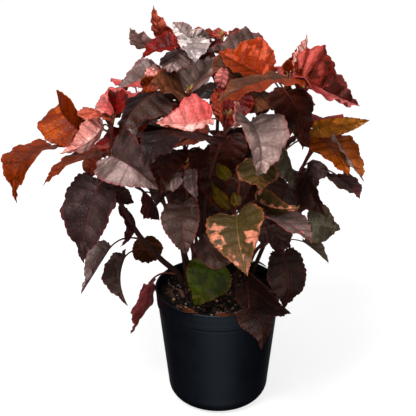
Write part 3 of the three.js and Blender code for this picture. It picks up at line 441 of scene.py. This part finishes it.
def tube(line, radii, sides):
    """Points and faces of a closed round tube along a line."""
    line = np.asarray(line, float)
    across = np.array((1, 0, 0) if abs(heading(line, 0)[0]) < 0.9 else (0, 1, 0))
    turns = 2 * math.pi * np.arange(sides) / sides
    rings = []
    for i, point in enumerate(line):
        ahead = heading(line, i)
        across = unit(across - ahead * (across @ ahead))
        side = np.cross(ahead, across)
        rings.append(point + radii[i] * (np.cos(turns)[:, None] * across + np.sin(turns)[:, None] * side))
    return closed_rings(rings)


# The blade

def sheet_faces(rows, columns):
    """Faces of a closed thin sheet: the upper grid, the lower one behind it, and the wall between them."""
    grid = np.arange(rows * columns).reshape(rows, columns)
    under = grid.size
    faces = []
    for a, b, c, d in zip(grid[:-1, :-1].flat, grid[:-1, 1:].flat, grid[1:, 1:].flat, grid[1:, :-1].flat):
        faces += [(a, b, c, d), (a + under, d + under, c + under, b + under)]
    rim = [*grid[0], *grid[1:, -1], *grid[-1, -2::-1], *grid[-2:0:-1, 0]]
    return faces + [(a, a + under, b + under, b) for a, b in zip(rim, rim[1:] + rim[:1])]


def facing_vector(around, up):
    """The direction some degrees round from the photograph's side and some degrees up."""
    a, u = math.radians(around), math.radians(up)
    return np.array([math.cos(u) * math.sin(a), -math.cos(u) * math.cos(a), math.sin(u)])


def leaf_frame(leaf):
    base, tip = np.array(leaf["base"], float), np.array(leaf["tip"], float)
    length = np.linalg.norm(tip - base)
    along = (tip - base) / length
    out = unit(leaf["face"] - along * (leaf["face"] @ along))
    return base, along, length, out, np.cross(out, along)


def fading(s):
    """1 along a blade, and 0 at its base and its drip tip."""
    return smoothstep(0.03, 0.12, s) * (1 - smoothstep(0.86, 0.97, s))


def outline(leaf, length, s, t, side, rng):
    """How far along the blade each point lies, as a share, and how far from the midrib."""
    places = (len(EDGE) - 1) * s[:, 0]
    edge, root = spline(EDGE, places), spline(VEIN_ROOTS, places)
    root = np.clip(np.maximum.accumulate(root), 0, 1)[:, None]
    half = leaf["wide"] / 2
    # teeth that point to the tip, uneven from one to the next
    teeth = len(s) // len(TOOTH_STEPS)
    strength = np.repeat(rng.uniform(0.5, 1.4, (teeth, 2)), len(TOOTH_STEPS), axis=0)
    rise = np.append(np.tile(TOOTH_RISE, teeth)[:, None] * strength, [[0, 0]], axis=0)
    tooth = TOOTH * length * rise * fading(s)
    tooth = np.where(side < 0, tooth[:, :1], tooth[:, 1:]) * smoothstep(0.8, 1, t)
    slope = unit(np.gradient(edge * (length, half), axis=0))
    bulge = 1 + 0.05 * np.sin(9 * s + 2 * side + rng.uniform(0, 6)) * smoothstep(0.1, 0.3, s)
    place = root + (edge[:, :1] - root) * t + tooth * (0.5 * slope[:, :1] - slope[:, 1:]) / length
    wide = edge[:, 1:] * t * half * bulge + tooth * (slope[:, :1] + 0.5 * slope[:, 1:])
    return place, np.maximum(wide, np.where(s < 0.5, 1.1, 0.15) * t)


def relief(leaf, length, s, t, side, wide):
    """Height of the sheet: margin waves, a ruffle, puffs between the side veins, and the midrib's groove."""
    phase = 0.1 * (leaf["base"][0] + leaf["base"][2])
    crinkled = 1 + YOUNG_EXTRA * smoothstep(YOUNG_FROM, YOUNG_FULL, leaf["base"][2])
    ends = np.clip(4 * np.minimum(s, 1 - s), 0, 1)
    wave = WAVE_SHARE * leaf["wide"] * np.sin(WAVE_TURN * s + side + phase) * ends * t**1.6
    ruffle = RUFFLE * leaf["wide"] * np.sin(41 * s + 5 * side + 3 * phase) * fading(s) * t**3
    puff = np.abs(np.sin(math.pi * VEINS * s)) ** 0.7 - 0.45
    quilt = QUILT * length * puff * smoothstep(0, 0.35, t) * (1 - 0.5 * t) * ends
    return wave + crinkled * (ruffle + quilt) - GROOVE * np.exp(-(wide / 1.6) ** 2) * (1 - s)


def add_blade(cloth, leaf, seed):
    """Adds one blade, whose points carry its colours and their place among the veins."""
    rng = np.random.default_rng(seed)
    base, along, length, out, across = leaf_frame(leaf)
    small = length < SMALL_LEAF
    teeth, columns = (SMALL_TEETH, np.array(SMALL_COLUMNS)) if small else (TEETH, np.array(COLUMNS))
    # s goes from the base to the tip, and t from the midrib to the margin on each side
    s = np.append((np.arange(teeth)[:, None] + TOOTH_STEPS) / teeth, 1)[:, None]
    shares = np.append(-columns[:0:-1], columns)[None, :]
    t, side = np.abs(shares), np.sign(shares)
    lean = rng.normal(0, 0.02, 2)
    place, wide = outline(leaf, length, s, t, side, rng)
    fold, arch = math.radians(leaf["fold"]), leaf["arch"]
    normal = unit(out - along * (arch * 4 * (1 - 2 * place))[..., None])
    lift = arch * length * 4 * place * (1 - place)
    bend = length * (lean[0] * np.sin(math.pi * np.clip(place, 0, 1)) + lean[1] * place**3)
    height = wide * math.sin(fold) + relief(leaf, length, s, t, side, wide)
    middle = (base + along * (length * place)[..., None] + out * lift[..., None]
              + across * (side * wide * math.cos(fold) + bend)[..., None] + normal * height[..., None])
    tangent_s, tangent_t = np.gradient(middle, axis=(0, 1))
    face = unit(np.cross(tangent_t, tangent_s) + 1e-9 * normal)
    face = np.where((face * normal).sum(-1, keepdims=True) < 0, -face, face)
    under = BLADE_THICKNESS / 2 + RIB * np.exp(-(wide / 1.3) ** 2) * (1 - 0.8 * s)
    colours, patchiness = paint(leaf, s, t, side, place * length, side * wide, seed)
    reach = np.linalg.norm(tangent_s, axis=-1) / np.gradient(s, axis=0)
    values = {"patchiness": patchiness, "run": s, "spread": t, "reach": reach, "wide_mm": wide}
    cloth.add([middle + face * BLADE_THICKNESS / 2, middle - face * under[..., None]],
              sheet_faces(*wide.shape), 0, **colours,
              **{name: [np.broadcast_to(value, wide.shape)] * 2 for name, value in values.items()})


def richer(colour):
    """The colours with their dark ones made fuller."""
    level = colour.mean(-1, keepdims=True)
    fuller = 1 + (RICHNESS - 1) * (1 - smoothstep(0.04, 0.2, level))
    return np.maximum(level + (colour - level) * fuller, 0)


def paint(leaf, s, t, side, x, y, seed):
    """Both faces' colours of a blade, its patches and its veins, and where the patches lie, by point."""
    s, t, side = (np.broadcast_to(v, y.shape) for v in (s, t, side))
    sector = noise(VEINS * 0.8 * s + 11, 1.4 * t + 5 * side, seed)
    broad = noise(x / 15, y / 15, seed + 2)
    fine = noise(x / 5 + 40, y / 5, seed + 9)
    halves = []
    for tone in (leaf["tone"].split("/") * 2)[:2]:
        main, patch, vein, margin, tip = (linear(colour) for colour in TONES[tone][:5])
        cover, tip_share = TONES[tone][5:]
        tip_reach = smoothstep(0.72 - 0.45 * tip_share, 1 - 0.35 * tip_share, s + 0.3 * (fine - 0.5))
        edge_reach = 0.8 * smoothstep(0.9, 0.99, t + 0.08 * (fine - 0.5))
        layers = [mix(mix(c, tip, tip_share * tip_reach), margin, edge_reach) for c in (main, patch)]
        layers.append(vein * (0.85 + 0.3 * broad)[..., None])
        # patches that stand out have crisp edges
        soft = 0.2 if np.abs(main - patch).max() < PATCHY else 0.07
        start = 0.62 - cover * 0.3 - soft / 2
        layers.append(((0.55 * sector + 0.2 * broad + 0.25 * fine - start) / soft)[..., None])
        halves.append(layers)
    *colours, patchiness = (mix(a, b, side < 0) for a, b in zip(*halves))
    shade = (DEPTH * (0.82 + 0.36 * noise(x / 9 + 7, y / 9 + 3, seed + 4)))[..., None]
    both_faces = {}
    for kind, colour in zip(("tint", "patch_tint", "vein_tint"), colours):
        above = richer(colour * (DEPTH if kind == "vein_tint" else shade))
        both_faces[kind] = above, mix(above, linear(UNDERSIDE), 0.16)
    return both_faces, patchiness[..., 0]


# Stalks and stems

def with_middles(line):
    """The points of a line and the middles between them."""
    return np.insert(line, range(1, len(line)), (line[1:] + line[:-1]) / 2, axis=0)


def stalk_curve(leaf, places):
    """The curve of a leaf stalk, from inside its stem to the blade's base, and its root on the stem."""
    base, _, length, _, _ = leaf_frame(leaf)
    reach = leaf.get("stalk") or min(STALK_SHARE * length + STALK_EXTRA, STALK_MOST)
    free = np.flatnonzero(places[:, 2] > LOWEST_LEAF)
    away, drop = np.linalg.norm(places[free] - base, axis=1), base[2] - places[free, 2]
    unfit = np.abs(away - max(reach, away.min())) + 1.2 * np.maximum(0, 0.1 * reach - drop)
    root = free[np.argmin(unfit)]
    stemward = heading(places, root)
    start = places[root] - stemward * STALK_SINK
    span = np.linalg.norm(base - start)
    bend = start + (unit(base - start) * 0.45 + stemward * 0.25 + (0, 0, 0.1)) * span
    t = np.linspace(0, 1, STALK_POINTS)[:, None]
    return (1 - t) ** 2 * start + 2 * t * (1 - t) * bend + t * t * base, places[root]


def far_leaf(places, share, around, length, tone):
    """A leaf of the far side, which hangs lower the lower it grows on its stem."""
    first = int(np.argmax(places[:, 2] >= LOWEST_LEAF))
    i = first + math.floor((len(places) - 1 - first) * share + 0.5)
    droop = 62 - 42 * share
    base = places[i] + facing_vector(around + 90, 25 + 35 * share) * STALK_SHARE * length
    return {"base": base, "tip": base + facing_vector(around + 90, -droop) * length,
            "face": facing_vector(around + 90, 90 - droop), "wide": 0.8 * length, "fold": 10, "arch": 0.14,
            "tone": tone}


def near_leaf(row):
    leaf = dict(zip(("base", "tip", "face", "wide", "fold", "arch", "tone", "stalk"), row))
    return leaf | {"face": facing_vector(*leaf["face"])}


def add_plain(cloth, points, faces, colour):
    """Adds a stalk or stem, which has the same per-point values as a blade but no veins."""
    colour, none = np.broadcast_to(colour, points.shape), np.zeros(len(points))
    cloth.add(points, faces, 1, tint=colour, patch_tint=colour, vein_tint=colour, patchiness=none,
              run=none, spread=none, reach=none, wide_mm=none)


def add_stalk(cloth, leaf, places):
    """Adds a leaf's stalk, thicker at both ends, and gives its root on the stem."""
    curve, root = stalk_curve(leaf, places)
    run = np.linspace(0, 1, STALK_POINTS)
    swell = 1 + 0.35 * np.exp(-((run - 0.12) / 0.1) ** 2) + 0.25 * np.exp(-((run - 0.98) / 0.06) ** 2)
    radius = np.clip(0.013 * leaf_frame(leaf)[2] + 0.25, 0.9, 1.5)
    vein = TONES[leaf["tone"].split("/")[0]][2]
    colour = mix(linear(STALK_COLOUR), linear(vein), 0.25)
    add_plain(cloth, *tube(curve, radius * swell, STALK_SIDES), colour)
    return root


def leafy_stem(name, number, materials):
    """One stem with its leaves and its bud. The leaves' seeds follow from the stem's number."""
    (thick, thin), foot, route = STEMS[name]
    route = [(*foot, z) for z in STEM_FOOT] + route
    spans = len(route) - 1
    places = with_middles(spline(route, np.linspace(0, spans, 2 * spans + 1)))
    line = spline(route, np.linspace(0, spans, STEM_STEPS * spans + 1))
    radii = np.linspace(thick, thin, len(line))
    leaves = [near_leaf(row) for row in NEAR_LEAVES.get(name, ())]
    for k, (share, around, length) in enumerate(FAR_LEAVES.get(name, ())):
        grade = share * (len(FAR_TONES) - 1) + 0.9 * math.sin(5.3 * k + number)
        tone = FAR_TONES[int(np.clip(round(grade), 0, len(FAR_TONES) - 1))]
        leaves.append(far_leaf(places, share, around, length, tone))
    cloth = Cloth()
    for k, leaf in enumerate(leaves):
        add_blade(cloth, leaf, 100 * number + k)
        root = add_stalk(cloth, leaf, places)
        # a knot where the stalk leaves the stem
        radii += 0.3 * np.exp(-(np.linalg.norm(line - root, axis=1) / 4) ** 2)
    youth = smoothstep(0.45, 0.9, np.repeat(np.linspace(0, 1, len(line)), STEM_SIDES))
    add_plain(cloth, *tube(line, radii, STEM_SIDES), mix(linear(OLD_BARK), linear(YOUNG_BARK), youth))
    add_bud(cloth, line, 100 * number + 90)
    cloth.piece(f"leafy_{name}", f"stem_{name}", materials)


def add_bud(cloth, line, seed):
    """Adds young leaves folded round a stem's tip."""
    rng = np.random.default_rng(seed)
    tip, ahead = line[-1], heading(line, len(line) - 1)
    side = unit(np.cross(ahead, (0.3, 1, 0.2)))
    for k, tone in enumerate(BUD_TONES):
        turn = 2.1 * k + rng.uniform(0, 1)
        outward = math.cos(turn) * side + math.sin(turn) * np.cross(ahead, side)
        length = rng.uniform(12, 18)
        base = tip + outward * 0.8 - ahead
        add_blade(cloth, {"base": base, "tip": base + unit(ahead + 0.45 * outward) * length,
                          "face": -outward, "wide": 0.5 * length, "fold": 40, "arch": 0.06, "tone": tone},
                  seed + k)


def litter(material):
    """Dead leaf bits that lie on the pot's rim."""
    cloth = Cloth()
    for k, row in enumerate(LITTER):
        add_blade(cloth, near_leaf(row), LITTER_SEED + k)
    cloth.piece("leaf_litter", "soil", [material], added=True)


# Pot

def wall_face(inset, foot):
    """One face of the pot's wall from its foot up, as rows of radius and height."""
    turns = np.linspace(0, math.pi / 2, HEEL_STEPS + 1)
    heel = np.c_[FOOT_RADIUS + (HEEL_RADIUS - inset - FOOT_RADIUS) * np.sin(turns),
                 foot + (HEEL_HEIGHT - foot) * (1 - np.cos(turns))]
    z = np.linspace(HEEL_HEIGHT, NECK_HEIGHT, WALL_STEPS)[1:]
    wall = np.c_[np.interp(z, (HEEL_HEIGHT, NECK_HEIGHT), (HEEL_RADIUS, NECK_RADIUS)) - inset, z]
    z = np.linspace(BAND_FOOT - 3, POT_HEIGHT - 2 * LIP, BAND_STEPS)
    radius = BAND_RADIUS + (RIM_RADIUS - 0.9 - BAND_RADIUS) * np.maximum(z - BAND_FOOT, 0) / BAND_HEIGHT
    band = np.c_[NECK_RADIUS + (radius - NECK_RADIUS) * smoothstep(-3, 0, z - BAND_FOOT) - inset, z]
    return np.concatenate([heel, wall, band])


def pot(material):
    outside = wall_face(0, 0)
    for drop in RIDGE_DROPS:
        away = POT_HEIGHT - drop - outside[:, 1]
        outside[:, 0] += RIDGE_HEIGHT * np.exp(-(away / RIDGE_REACH) ** 2)
    turns = np.radians(range(-60, 181, 30))
    lip = np.c_[RIM_RADIUS - LIP + LIP * np.cos(turns), POT_HEIGHT - LIP + LIP * np.sin(turns)]
    section = np.concatenate([outside, lip, wall_face(POT_WALL, FLOOR_THICKNESS)[::-1]])
    cloth = Cloth()
    cloth.add(*closed_rings(turned_rings(section, POT_SIDES)))
    shell = cloth.piece("pot_shell", "pot", [material])
    drill(shell)
    shell.data.set_sharp_from_angle(angle=math.radians(40))


def drill(shell):
    """Cuts the drain holes through the pot's foot."""
    cloth = Cloth()
    for k in range(DRAIN_COUNT):
        turn = 2 * math.pi * (k + 0.5) / DRAIN_COUNT
        x, y = DRAIN_RING * math.cos(turn), DRAIN_RING * math.sin(turn)
        line = [(x, y, -FLOOR_THICKNESS), (x, y, 2 * FLOOR_THICKNESS)]
        cloth.add(*tube(line, [DRAIN_RADIUS] * 2, DRAIN_SIDES))
    drills = cloth.thing("drills")
    cut = shell.modifiers.new("drain", "BOOLEAN")
    cut.operation, cut.object, cut.solver = "DIFFERENCE", drills, "EXACT"
    bpy.context.view_layer.objects.active = shell
    bpy.ops.object.modifier_apply(modifier="drain")
    bpy.data.meshes.remove(drills.data)


# Soil

def soil_height(x, y):
    mounds = np.sin(x * 0.085 + 1) * np.cos(y * 0.11) + 0.5 * np.sin(x * 0.21 - y * 0.17)
    return SOIL_TOP + SOIL_SWELL * mounds


def crumbly(x, y):
    """The crumbs and hollows of the soil's top, over its low mounds."""
    return sum(height * (noise(x / wide, y / wide, seed) - 0.5) for height, wide, seed in CRUMBLES)


def soil(material):
    """The soil from its foot to its crumbly top; gives the radius of that top's edge."""
    inset = POT_WALL + 2 * FIT_GAP
    edge = BAND_RADIUS + (RIM_RADIUS - BAND_RADIUS) * (SOIL_TOP - BAND_FOOT) / BAND_HEIGHT - inset
    rings = turned_rings([(FOOT_RADIUS - 2 * FIT_GAP, FLOOR_THICKNESS + FIT_GAP),
                          (HEEL_RADIUS - inset, HEEL_HEIGHT + 1), (NECK_RADIUS - inset, NECK_HEIGHT),
                          (BAND_RADIUS - inset, BAND_FOOT)], SOIL_SIDES)
    for k in range(SOIL_RINGS):
        ring = turned_rings([(edge * (1 - k / SOIL_RINGS), 0)], SOIL_SIDES)[0]
        x, y = ring[:, 0], ring[:, 1]
        ring[:, 2] = soil_height(x, y) + crumbly(x, y) * min(1, k / 4 + 0.25)
        rings.append(ring)
    cloth = Cloth()
    cloth.add(*closed_rings(rings))
    cloth.piece("soil_bed", "soil", [material])
    return edge


def lump(rng, least, most, flat):
    """Points and faces of one uneven rounded grain."""
    size = rng.uniform(least, most)
    form = bmesh.new()
    bmesh.ops.create_icosphere(form, subdivisions=1, radius=1)
    points = np.array([v.co for v in form.verts])
    faces = [tuple(v.index for v in f.verts) for f in form.faces]
    form.free()
    return points * (1 + 0.18 * rng.standard_normal((len(points), 1))) * size * (1, 1, flat), faces


def slab(rng):
    """Points and faces of one bark chip with broken ends."""
    long, wide, thick = rng.uniform(5, 15), rng.uniform(3, 6), rng.uniform(1, 2.4)
    cross = [(-1, -1), (1, -1), (1.1, 0), (0.9, 1), (-0.9, 1), (-1.1, 0.1)]
    rings = []
    for x, pinch in ((-1, 0.75), (-0.4, 1), (0.4, 1), (1, 0.75)):
        rings.append([(x * long / 2 + rng.normal(0, 0.05 * long), y * pinch * wide / 2,
                       z * pinch * thick / 2 + rng.normal(0, 0.06 * thick)) for y, z in cross])
    return closed_rings(rings)


def tumbled(points, rng):
    """Points turned about the vertical and tilted a little."""
    turn = (Matrix.Rotation(rng.uniform(0, 6.28), 3, "Z") @ Matrix.Rotation(rng.normal(0, 0.4), 3, "X")
            @ Matrix.Rotation(rng.normal(0, 0.4), 3, "Y"))
    return points @ np.array(turn).T


def strew(name, edge):
    """Scatters grains of one kind over the soil's top, clear of the wall, as one piece."""
    count, seed, size, colours, rough, bump, sunk, *placed = GRAINS[name]
    rng = np.random.default_rng(seed)
    cloth = Cloth()
    for k in range(count):
        r, a = (edge - 5) * math.sqrt(rng.uniform(0.01, 1)), rng.uniform(0, 2 * math.pi)
        x, y = placed[k] if k < len(placed) else (r * math.cos(a), r * math.sin(a))
        points, faces = lump(rng, *size) if size else slab(rng)
        points = tumbled(points, rng)
        z = soil_height(x, y) + crumbly(x, y) - points[:, 2].min() * (1 - 2 * sunk)
        colour = linear(colours[rng.integers(len(colours))]) * rng.uniform(0.75, 1.2)
        cloth.add(points + (x, y, z), faces, tint=np.broadcast_to(colour, points.shape))
    cloth.piece(name, "soil", [grain_material(name, rough, bump)], smooth=bool(size), added=True)


# Materials

class Nodes:
    """Short names for building the nodes of a material or of the world."""

    def __init__(self, owner):
        self.owner = owner
        owner.use_nodes = True
        self.tree = owner.node_tree
        self.tree.nodes.clear()

    def plug(self, socket, value):
        """Fills a socket from another one, or with a number, three numbers of a colour or a grey level."""
        if isinstance(value, bpy.types.NodeSocket):
            self.tree.links.new(value, socket)
        elif socket.type == "RGBA":
            socket.default_value = (*value, 1) if isinstance(value, tuple) else (value, value, value, 1)
        else:
            socket.default_value = value

    def node(self, kind, output, inputs, **settings):
        """Adds a node with its inputs by name or number, and gives one of its outputs."""
        node = self.tree.nodes.new("ShaderNode" + kind)
        for name, value in settings.items():
            setattr(node, name, value)
        for key, value in inputs.items():
            self.plug(node.inputs[key], value)
        return node.outputs[output]

    def done(self, surface, output="OutputMaterial"):
        self.plug(self.tree.nodes.new("ShaderNode" + output).inputs[0], surface)
        return self.owner

    def math(self, operation, *values):
        return self.node("Math", 0, dict(enumerate(values)), operation=operation)

    def ramp(self, *values):
        """A value taken smoothly from one span, low and high, to another, by default 0 to 1."""
        return self.node("MapRange", 0, dict(enumerate(values)), interpolation_type="SMOOTHSTEP")

    def blend(self, factor, a, b, kind="MIX"):
        return self.node("Mix", 2, {0: factor, 6: a, 7: b}, data_type="RGBA", blend_type=kind)

    def shaded(self, colour, factor, low, high):
        """A colour times another, which goes from low to high with the factor."""
        return self.blend(1, colour, self.blend(factor, low, high), "MULTIPLY")

    def value(self, name, output="Fac"):
        return self.node("Attribute", output, {}, attribute_name=name)

    def noise(self, scale, detail=3, rough=0.55):
        place = self.node("TexCoord", "Object", {})
        return self.node("TexNoise", "Fac", {"Vector": place, "Scale": scale, "Detail": detail,
                                             "Roughness": rough})

    def cells(self, scale, feature="DISTANCE_TO_EDGE"):
        place = self.node("TexCoord", "Object", {})
        return self.node("TexVoronoi", "Distance", {"Vector": place, "Scale": scale}, feature=feature)

    def bump(self, height, strength, distance):
        return self.node("Bump", "Normal", {"Strength": strength, "Distance": distance, "Height": height})

    def surface(self, colour, rough, **levels):
        """A principled surface. A level's name has _ where its socket's has a space."""
        levels = {name.replace("_", " "): level for name, level in levels.items()}
        return self.node("BsdfPrincipled", 0, {"Base Color": colour, "Roughness": rough, **levels})


def new_material(name):
    return Nodes(bpy.data.materials.new(name))


def leaf_material():
    n = new_material("copperleaf_blade")
    # distance in millimetres from the nearest side vein and from the midrib
    cell = n.math("MULTIPLY", n.value("run"), VEINS)
    off = n.math("ABSOLUTE", n.math("SUBTRACT", cell, n.math("ROUND", cell)))
    side_gap = n.math("MULTIPLY", n.math("DIVIDE", off, VEINS), n.value("reach"))
    side_width = n.ramp(n.value("spread"), 0, 1, 0.85, 0.3)
    side_vein = n.ramp(n.math("DIVIDE", side_gap, side_width), 0.35, 1.5, 0.72, 0)
    veins = n.math("MAXIMUM", side_vein, n.ramp(n.value("wide_mm"), 0.4, 1.3, 1, 0))
    # puffs between the finest veins, and a grain inside them
    puffs, small_puffs = n.ramp(n.cells(190), 0, 0.32), n.ramp(n.cells(430), 0, 0.3)
    mottle = n.noise(150, 5, 0.65)
    # patches with ragged edges
    ragged = n.math("MULTIPLY_ADD", n.math("SUBTRACT", n.noise(260, 4, 0.6), 0.5), 1.6,
                    n.value("patchiness"))
    tint = n.value("tint", "Color")
    colour = n.blend(n.ramp(ragged, 0, 1), tint, n.value("patch_tint", "Color"))
    colour = n.shaded(colour, n.ramp(mottle, 0.34, 0.68), 0.78, 1.2)
    # painted shade in the creases between the small puffs, and a little painted light on their tops
    colour = n.shaded(colour, puffs, (0.86, 0.84, 0.84), 1.04)
    # painted shade in the furrows along the side veins, and a little painted light on the puffs between them
    colour = n.shaded(colour, n.ramp(side_gap, 0, FURROW_SHADE_REACH), (0.83, 0.8, 0.8), 1.05)
    colour = n.blend(n.math("MULTIPLY", veins, 0.8), colour, n.value("vein_tint", "Color"))
    freckles = n.ramp(n.noise(210, 1), 0.7, 0.76, 0, 0.5)
    colour = n.blend(freckles, colour, (0.02, 0.008, 0.006))
    relief = n.math("ADD", n.math("MULTIPLY", puffs, 0.38), n.math("MULTIPLY", small_puffs, 0.14))
    relief = n.math("SUBTRACT", n.math("MULTIPLY_ADD", mottle, 0.22, relief), veins)
    normal = n.bump(relief, 0.85, 0.0012)
    rough = n.ramp(mottle, 0.3, 0.75, 0.32, 0.46)
    face = n.surface(colour, rough, Normal=normal, Specular_IOR_Level=0.12)
    glow_colour = n.blend(1, colour, (1.8, 1.4, 1.2), "MULTIPLY")
    glow = n.node("BsdfTranslucent", 0, {"Color": glow_colour, "Normal": normal})
    # bright blades let more light through than dark ones
    through = n.ramp(n.node("RGBToBW", 0, {0: tint}), 0.015, 0.2, 0.08, 0.34)
    return n.done(n.node("MixShader", 0, {0: through, 1: face, 2: glow}))


def bark_material():
    n = new_material("copperleaf_stem")
    streak = n.noise(240, 5, 0.65)
    colour = n.shaded(n.value("tint", "Color"), n.ramp(streak, 0.3, 0.72), 0.55, (1.35, 1.3, 1.25))
    dots = n.ramp(n.cells(300, "F1"), 0, 0.3, 0.15, 0)
    colour = n.blend(dots, colour, (0.3, 0.2, 0.14))
    return n.done(n.surface(colour, 0.62, Normal=n.bump(streak, 0.6, 0.0006), Specular_IOR_Level=0.15))


def pot_material():
    n = new_material("black_nursery_plastic")
    cloud, grain = n.noise(22, 5, 0.6), n.noise(900, 2)
    colour = n.blend(n.ramp(cloud, 0.35, 0.75), (0.0011, 0.0016, 0.0026), (0.002, 0.0027, 0.0042))
    dust = n.ramp(n.noise(60, 6, 0.7), 0.6, 0.8, 0, 0.06)
    colour = n.blend(dust, colour, (0.05, 0.048, 0.045))
    rough = n.ramp(cloud, 0.3, 0.8, 0.4, 0.48)
    return n.done(n.surface(colour, rough, Normal=n.bump(grain, 0.12, 0.0002), Specular_IOR_Level=0.38,
                            Specular_Tint=(0.66, 0.78, 1)))


def soil_material():
    n = new_material("moist_potting_mix")
    lumps, grit = n.noise(190, 6, 0.7), n.noise(700, 4, 0.7)
    colour = n.blend(n.ramp(lumps, 0.3, 0.7), (0.002, 0.0014, 0.001), (0.018, 0.011, 0.007))
    colour = n.blend(n.ramp(grit, 0.62, 0.75, 0, 0.6), colour, (0.05, 0.03, 0.016))
    normal = n.bump(n.math("ADD", lumps, grit), 0.9, 0.0015)
    return n.done(n.surface(colour, 0.85, Normal=normal, Specular_IOR_Level=0.15))


def grain_material(name, rough, bump):
    n = new_material(name)
    streak = n.noise(380, 5, 0.7)
    colour = n.shaded(n.value("tint", "Color"), n.ramp(streak, 0.3, 0.7), (0.5, 0.48, 0.45), 1.3)
    return n.done(n.surface(colour, rough, Normal=n.bump(streak, bump, 0.0006)))


def sheet_material():
    n = new_material("white_sheet")
    colour = n.blend(n.noise(3), 0.3, 0.34)
    return n.done(n.surface(colour, 0.9, Specular_IOR_Level=0, Emission_Color=1, Emission_Strength=0.74))


# Studio and camera

def floor():
    """A white sheet: the floor and a round wall far behind. It takes shadows and sends the plant no light."""
    cloth = Cloth()
    cloth.add(*closed_rings(turned_rings(SHEET, SHEET_SIDES)))
    sheet = cloth.thing("floor", [sheet_material()])
    sheet.visible_diffuse = sheet.visible_glossy = sheet.visible_transmission = sheet.visible_shadow = False


def softbox(name, place, target, size, power):
    lamp = bpy.data.lights.new(name, "AREA")
    lamp.shape, lamp.size, lamp.size_y, lamp.energy = "RECTANGLE", size[0] * MM, size[1] * MM, power
    thing = shown(name, lamp)
    thing.location = Vector(place) * MM
    thing.rotation_euler = (Vector(target) - Vector(place)).to_track_quat("-Z", "Y").to_euler()


def studio():
    """Soft light from a bright ceiling and front wall, dark walls at the sides, and two large lamps."""
    world = bpy.data.worlds.new("studio")
    bpy.context.scene.world = world
    n = Nodes(world)
    around = n.node("TexCoord", "Generated", {})
    light = SIDE_LIGHT
    for axis, begins, full, strength in STUDIO:
        part = n.node("SeparateXYZ", axis, {0: around})
        light = n.math("MAXIMUM", light, n.ramp(part, begins, full, SIDE_LIGHT, strength))
    n.done(n.node("Background", 0, {"Color": 1, "Strength": light}), "OutputWorld")
    for name, lamp in LAMPS.items():
        softbox(name, *lamp)
    bpy.context.scene.view_settings.view_transform = "Standard"


def camera():
    lens = bpy.data.cameras.new("camera")
    lens.sensor_width, lens.lens = SENSOR, LENS
    view = bpy.context.scene.camera = shown("camera", lens)
    tilt = Matrix.Rotation(math.radians(90 - LOOK_DOWN), 4, "X")
    turn = Matrix.Rotation(math.radians(LEAN), 4, "Y")
    view.matrix_world = Matrix.Translation(Vector(CAMERA_PLACE) * MM) @ tilt @ turn


camera()
studio()
floor()
pot(pot_material())
soil_edge = soil(soil_material())
for name in GRAINS:
    strew(name, soil_edge)
leaf_looks = [leaf_material(), bark_material()]
litter(leaf_looks[0])
for number, name in enumerate(STEMS, 1):
    leafy_stem(name, number, leaf_looks)
